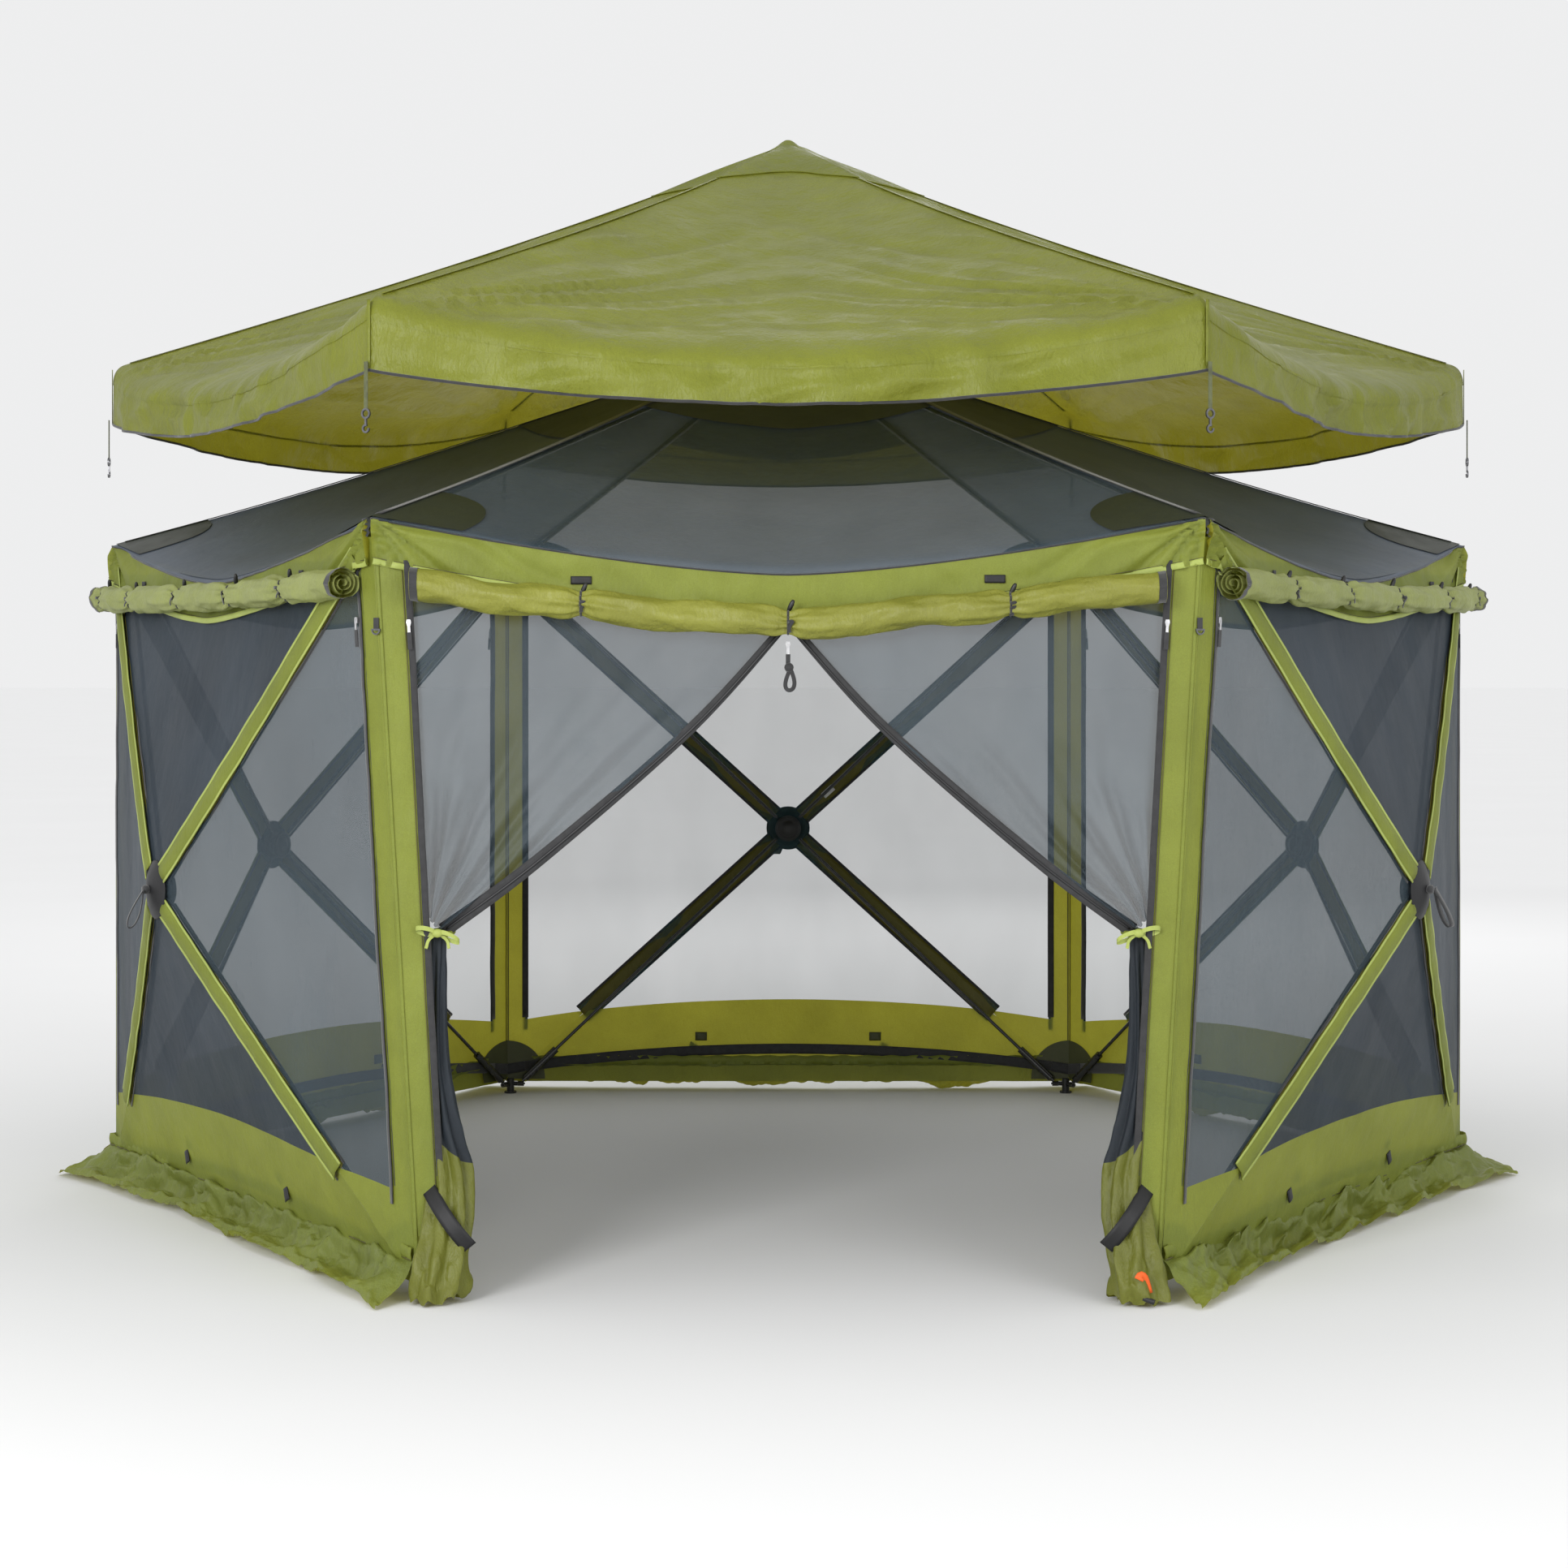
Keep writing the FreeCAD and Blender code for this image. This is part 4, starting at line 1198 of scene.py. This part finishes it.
def front_post(sign, side):
    """A strip of cloth beside the doorway, edged by its zip tape and stitching."""
    wall = WALLS["front"]
    inner = 1 - DOOR_POST / (R / 2)

    def at(u, z, lift=0.0):
        p = wall.at(u, z)
        soft = 0.006 * wave3(p, 4.0, 3.0) + 0.003 * wave3(p, 14.0, 9.0)
        tug = 0.0025 * sin(z * 31 + 3 * wave3(p, 2.0, 1.0)) * exp(-((z - TIE_Z) / 0.25) ** 2)
        return wall.at(u, z, 0.001 + lift + (soft + tug) * (1 - abs(u)) * (R / 2) / DOOR_POST)

    def f(i, j):
        return at(sign * mix(inner, 1.0, i), mix(0.012, POST_TOP, j))
    strip = sheet(f"front_post_{side}", f, 10, 120, "green", size=(DOOR_POST, 1.68))
    trims = []
    for name, x, low, high, lift, width, material in (
            ("zip_tape", 0.0, 0.27, 1.62, 0.0022, 0.015, "tape"),
            ("stitch", 0.012, 0.05, 1.60, 0.0016, 0.0022, "inner"),
            ("fold", 0.0668, 0.02, 1.66, 0.0016, 0.0075, "green")):
        run = curve(lambda t: at(sign * (inner + x / (R / 2)), mix(low, high, t), lift), 90)
        trims.append(tape(f"front_{name}_{side}", run, wall.out, width, 0.0012, material, crown=0.0005))
    attach("frame", strip, *trims)
    declare(strip, trims)
    return strip


# ---------------------------------------------------------------- ground skirts

def skirt_line(wall, t, out, z):
    """A point beside the foot of the wall, on lines that meet at the corners."""
    edge = (corner(wall.right, 0.0) - corner(wall.left, 0.0)).normalized()
    normal = edge.cross(UP)
    ends = []
    for k, sign in ((wall.left, -1), (wall.right, 1)):
        if k in (4, 5):
            run = (1 - normal.dot(FORWARD)) / (edge * sign).dot(FORWARD)
        else:
            side = UP.cross(ray(k))
            run = -normal.dot(side) / (edge * sign).dot(side)
        ends.append(corner(k, 0.0) + normal * out + edge * (sign * run * out))
    p = ends[0].lerp(ends[1], t)
    p.z = z
    return p


def drape(thing, pinned, frames=46):
    """Lets a sheet fall onto the ground under its own weight, and keeps the result."""
    group = thing.vertex_groups.new(name="pin")
    group.add(pinned, 1.0, "REPLACE")
    ground = floor_square("drape_ground", 4)
    ground.modifiers.new("collision", "COLLISION")
    ground.collision.thickness_outer = 0.003
    modifier = thing.modifiers.new("cloth", "CLOTH")
    for key, value in {"vertex_group_mass": "pin", "quality": 6, "mass": 0.12, "tension_stiffness": 22,
                       "compression_stiffness": 22, "shear_stiffness": 8, "bending_stiffness": 0.25,
                       "air_damping": 1.2}.items():
        setattr(modifier.settings, key, value)
    modifier.collision_settings.distance_min = 0.003
    modifier.collision_settings.use_self_collision = True
    modifier.collision_settings.self_distance_min = 0.004
    modifier.point_cache.frame_end = frames
    scene = bpy.context.scene
    for step in range(1, frames + 1):
        scene.frame_set(step)
    fallen = bpy.data.meshes.new_from_object(thing.evaluated_get(bpy.context.evaluated_depsgraph_get()))
    thing.modifiers.clear()
    thing.vertex_groups.clear()
    thing.data = fallen
    bpy.data.objects.remove(ground)
    scene.frame_set(1)


def skirt_fold(i, j, seed):
    """Sharp and broad folds of the crumpled cloth, i along the wall and j across it."""
    height = 0.0
    for along, over, size in ((9.0, 1.2, 0.024), (21.0, 2.4, 0.015), (50.0, 5.0, 0.006)):
        height += size * (1 - 2.6 * abs(uneven(i * along + j * over * 0.6, j * over, seed)))
    return height


def settled(grid, columns, rows, i, j):
    """A place between the vertices of a settled sheet."""
    x, y = min(i * columns, columns - 1e-6), min(j * rows, rows - 1e-6)
    a, b = int(x), int(y)

    def between(row):
        first = row * (columns + 1) + a
        return grid[first].lerp(grid[first + 1], x - a)
    return between(b).lerp(between(b + 1), y - b)


def ground_skirt(wall):
    """Crumpled cloth that falls from the gathered seam and spreads over the ground."""
    rows, columns = 14, 130
    seed = wall.left * 5.0
    name = f"{wall.name}_skirt"

    def gathered(i, j):
        tip = smooth(1 - min(i, 1 - i) / 0.05)
        crumple = 0.018 * uneven(i * 21, j * 3.0, seed)
        crumple += 0.010 * uneven(i * 55, j * 6.0, seed + 9.0)
        wander = 0.016 * uneven(i * 8, 1.5, seed) * j * (1 - tip)
        out = mix(0.010, mix(0.140, 0.134, tip), j ** 0.9) + wander
        fall = mix(0.030, 0.003, tip)
        lift = (crumple + 0.02) * smooth(j * 4) * (1 - 0.3 * j) * (1 - tip)
        z = max(0.004, mix(SKIRT_SEAM, fall, smooth(j * 1.3)) + lift)
        return skirt_line(wall, mix(0.001, 0.999, i), out, z)
    coarse = sheet(name, gathered, columns, rows, "skirt", size=(2.1, 0.22))
    last = rows * (columns + 1)
    tips = [last + n for n in (0, 1, 2, columns - 2, columns - 1, columns)]
    drape(coarse, list(range(columns + 1)) + tips)
    grid = [vertex.co.copy() for vertex in coarse.data.vertices]
    bpy.data.objects.remove(coarse)

    def folded(i, j):
        p = settled(grid, columns, rows, i, j)
        loose = smooth(j * 5) * min(1.0, 12 * i + 0.1, 12 * (1 - i) + 0.1)
        fold = skirt_fold(i, j, seed + 3.0) * loose
        p += wall.out * (fold * 0.35) + UP * (fold * (1 - 0.45 * j) + 0.004 * loose)
        p.z = max(0.0015, p.z)
        return p

    def channel(t):
        return skirt_line(wall, mix(0.002, 0.998, t), 0.0125 + 0.0016 * sin(t * 336),
                          0.100 + 0.002 * sin(t * 144))

    def seam(t):
        return skirt_line(wall, mix(0.004, 0.996, t), 0.0145 + 0.0012 * sin(t * 204), SKIRT_SEAM - 0.002)
    skirt = sheet(name, folded, 300, 34, "skirt", size=(2.1, 0.22))
    trims = [tape(f"{name}_channel", curve(channel, 160), wall.out, 0.030, 0.002, "green", crown=0.003),
             tube(f"{name}_seam", curve(seam, 120), 0.0022, "inner", sides=6)]
    attach("frame", skirt, *trims)
    declare(skirt, trims)
    for n, u in enumerate((-0.34, 0.34)):
        middle = wall.at(u, 0.140, 0.004)
        tilt = wall.along * 0.012 + UP * -0.026
        run = line(middle - tilt * 0.5, middle + tilt * 0.6, 6)
        tab = tape(f"{wall.name}_peg_tab_{n}", run, wall.out, 0.026, 0.0022, "velcro", crown=0.002)
        attach(wall.body("lower"), tab)
    return skirt


# ---------------------------------------------------------------- small parts

RING_TOP = 1.478            # webbing above this, the doorway's D-rings below


def split_look(node, material, chosen):
    """Gives the faces whose middle height is chosen a second material."""
    node.data.materials.append(MATERIALS[material])
    for polygon in node.data.polygons:
        polygon.material_index = 1 if chosen(polygon.center.z) else 0


def finish_cad_nodes():
    """Better materials for the CAD pieces that stay in view, split where webbing meets metal."""
    looks = {"poles": "pole", "brackets": "plastic", "roof_hub": "plastic", "slider": "zinc",
             "d_rings": "wire", "fly_hook": "wire"}
    for name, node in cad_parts.items():
        for key, material in looks.items():
            if key in name:
                node.data.materials.clear()
                node.data.materials.append(MATERIALS[material])
                for polygon in node.data.polygons:
                    polygon.use_smooth = False
        top = max(vertex.co.z for vertex in node.data.vertices)
        if "slider" in name:
            split_look(node, "strap", lambda z: z < top - 0.0295)
        elif name == "d_rings":
            split_look(node, "strap", lambda z: z > RING_TOP)
        elif "fly_hook" in name:
            split_look(node, "fly_strap", lambda z: z > top - 0.092)


def zipper(wall, sign, side):
    """A zip slider parked at the top of a rear panel's zip, with its puller and webbing pull."""
    at = wall.at(POST_U * sign, 1.50, 0.004)
    down = (wall.at(POST_U * sign, 1.40, 0.004) - at).normalized()
    body = disc(f"{wall.name}_zip_slider_{side}", at, wall.out, (
        (0.0015, 0.0), (0.0058, 0.0), (0.0062, 0.0030), (0.0040, 0.0050), (0.0015, 0.0052)), "zinc", sides=12)
    hinge = at + wall.out * 0.005
    puller = tape(f"{wall.name}_zip_puller_{side}", line(hinge + down * 0.004, hinge + down * 0.028, 6),
                  wall.out, 0.006, 0.0018, "zinc", crown=0.0006)
    run = curve(lambda t: at + wall.out * (0.006 + 0.002 * t) + down * (0.026 + 0.038 * t), 8)
    pull = tape(f"{wall.name}_zip_pull_{side}", run, wall.out, 0.009, 0.0016, "strap")
    attach(wall.body(f"{side}_panel"), body, puller, pull)


def plain_label():
    """A small white label inside, on the back wall's upper pole sleeve."""
    back = WALLS["back"]
    direction = (back.at(-0.6, upper_pole(0.6)) - back.at(-0.1, upper_pole(0.1))).normalized()
    middle = back.at(-0.145, upper_pole(0.145), -0.0095)
    run = line(middle - direction * 0.022, middle + direction * 0.022, 6)
    attach("back_upper", tape("plain_label", run, -back.out, 0.022, 0.0008, "label"))


def foot_tag():
    """The orange tag and black toggle at the right foot of the doorway."""
    foot = WALLS["front"].at(1 - 0.040 / (R / 2), 0.0, 0.062)

    def tag_point(t):
        return foot + Vector((-0.022 * t, -0.030 - 0.014 * t, 0.030 + 0.040 * sin(2.2 * t)))
    tag = tape("foot_tag", curve(tag_point, 10), Vector((0, -1, 0.3)), 0.020, 0.0012, "tag")
    ends = foot + Vector((-0.012, -0.040, 0.022)), foot + Vector((0.012, -0.046, 0.014))
    attach("frame", tag, tube("foot_toggle", line(*ends, 6), 0.006, "plastic"))


def door_pull():
    """The longer webbing pull on the doorway's middle slider."""
    top = Vector((0.0, WALLS["front"].at(0, 1.38, 0.0).y - 0.009, 1.385))

    def pull(t):
        swing = 0.010 * sin(pi * 2 * t)
        return top + Vector((swing + 0.004, -0.003 - 0.004 * sin(pi * t),
                             -0.050 * sin(pi * t * 0.97)))
    loop = tape("door_pull_loop", curve(pull, 30), FORWARD, 0.009, 0.0016, "strap")
    knot = disc("door_pull_knot", top + Vector((0.002, -0.004, 0.0)), FORWARD, (
        (0.002, -0.004), (0.009, -0.003), (0.0105, 0.002), (0.008, 0.006), (0.002, 0.007)), "strap", sides=12)
    attach("slider_door", loop, knot)


def main():
    make_stage()
    for wall in POPPED:
        wall_cloth(wall)
        pole_sleeves(wall)
        wall_hub(wall)
    for wall in WALLS.values():
        eave_band(wall)
    gores = [roof_gore(wall) for wall in WALLS.values()]
    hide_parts("roof_canopy")
    roof_cap()
    rain_fly()
    wind_panels()
    curtains = [door_curtain(sign, f"door_{side}") for sign, side in SIDES]
    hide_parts("door_curtains")
    posts = [front_post(sign, side) for sign, side in SIDES]
    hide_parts("eave_and_post_strips")
    skirts = [ground_skirt(wall) for wall in POPPED]
    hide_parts("ground_skirts")
    plain_label()
    foot_tag()
    door_pull()
    for name in ("rear_left", "rear_right", "back"):
        for sign, side in SIDES:
            zipper(WALLS[name], sign, side)
    finish_cad_nodes()


main()
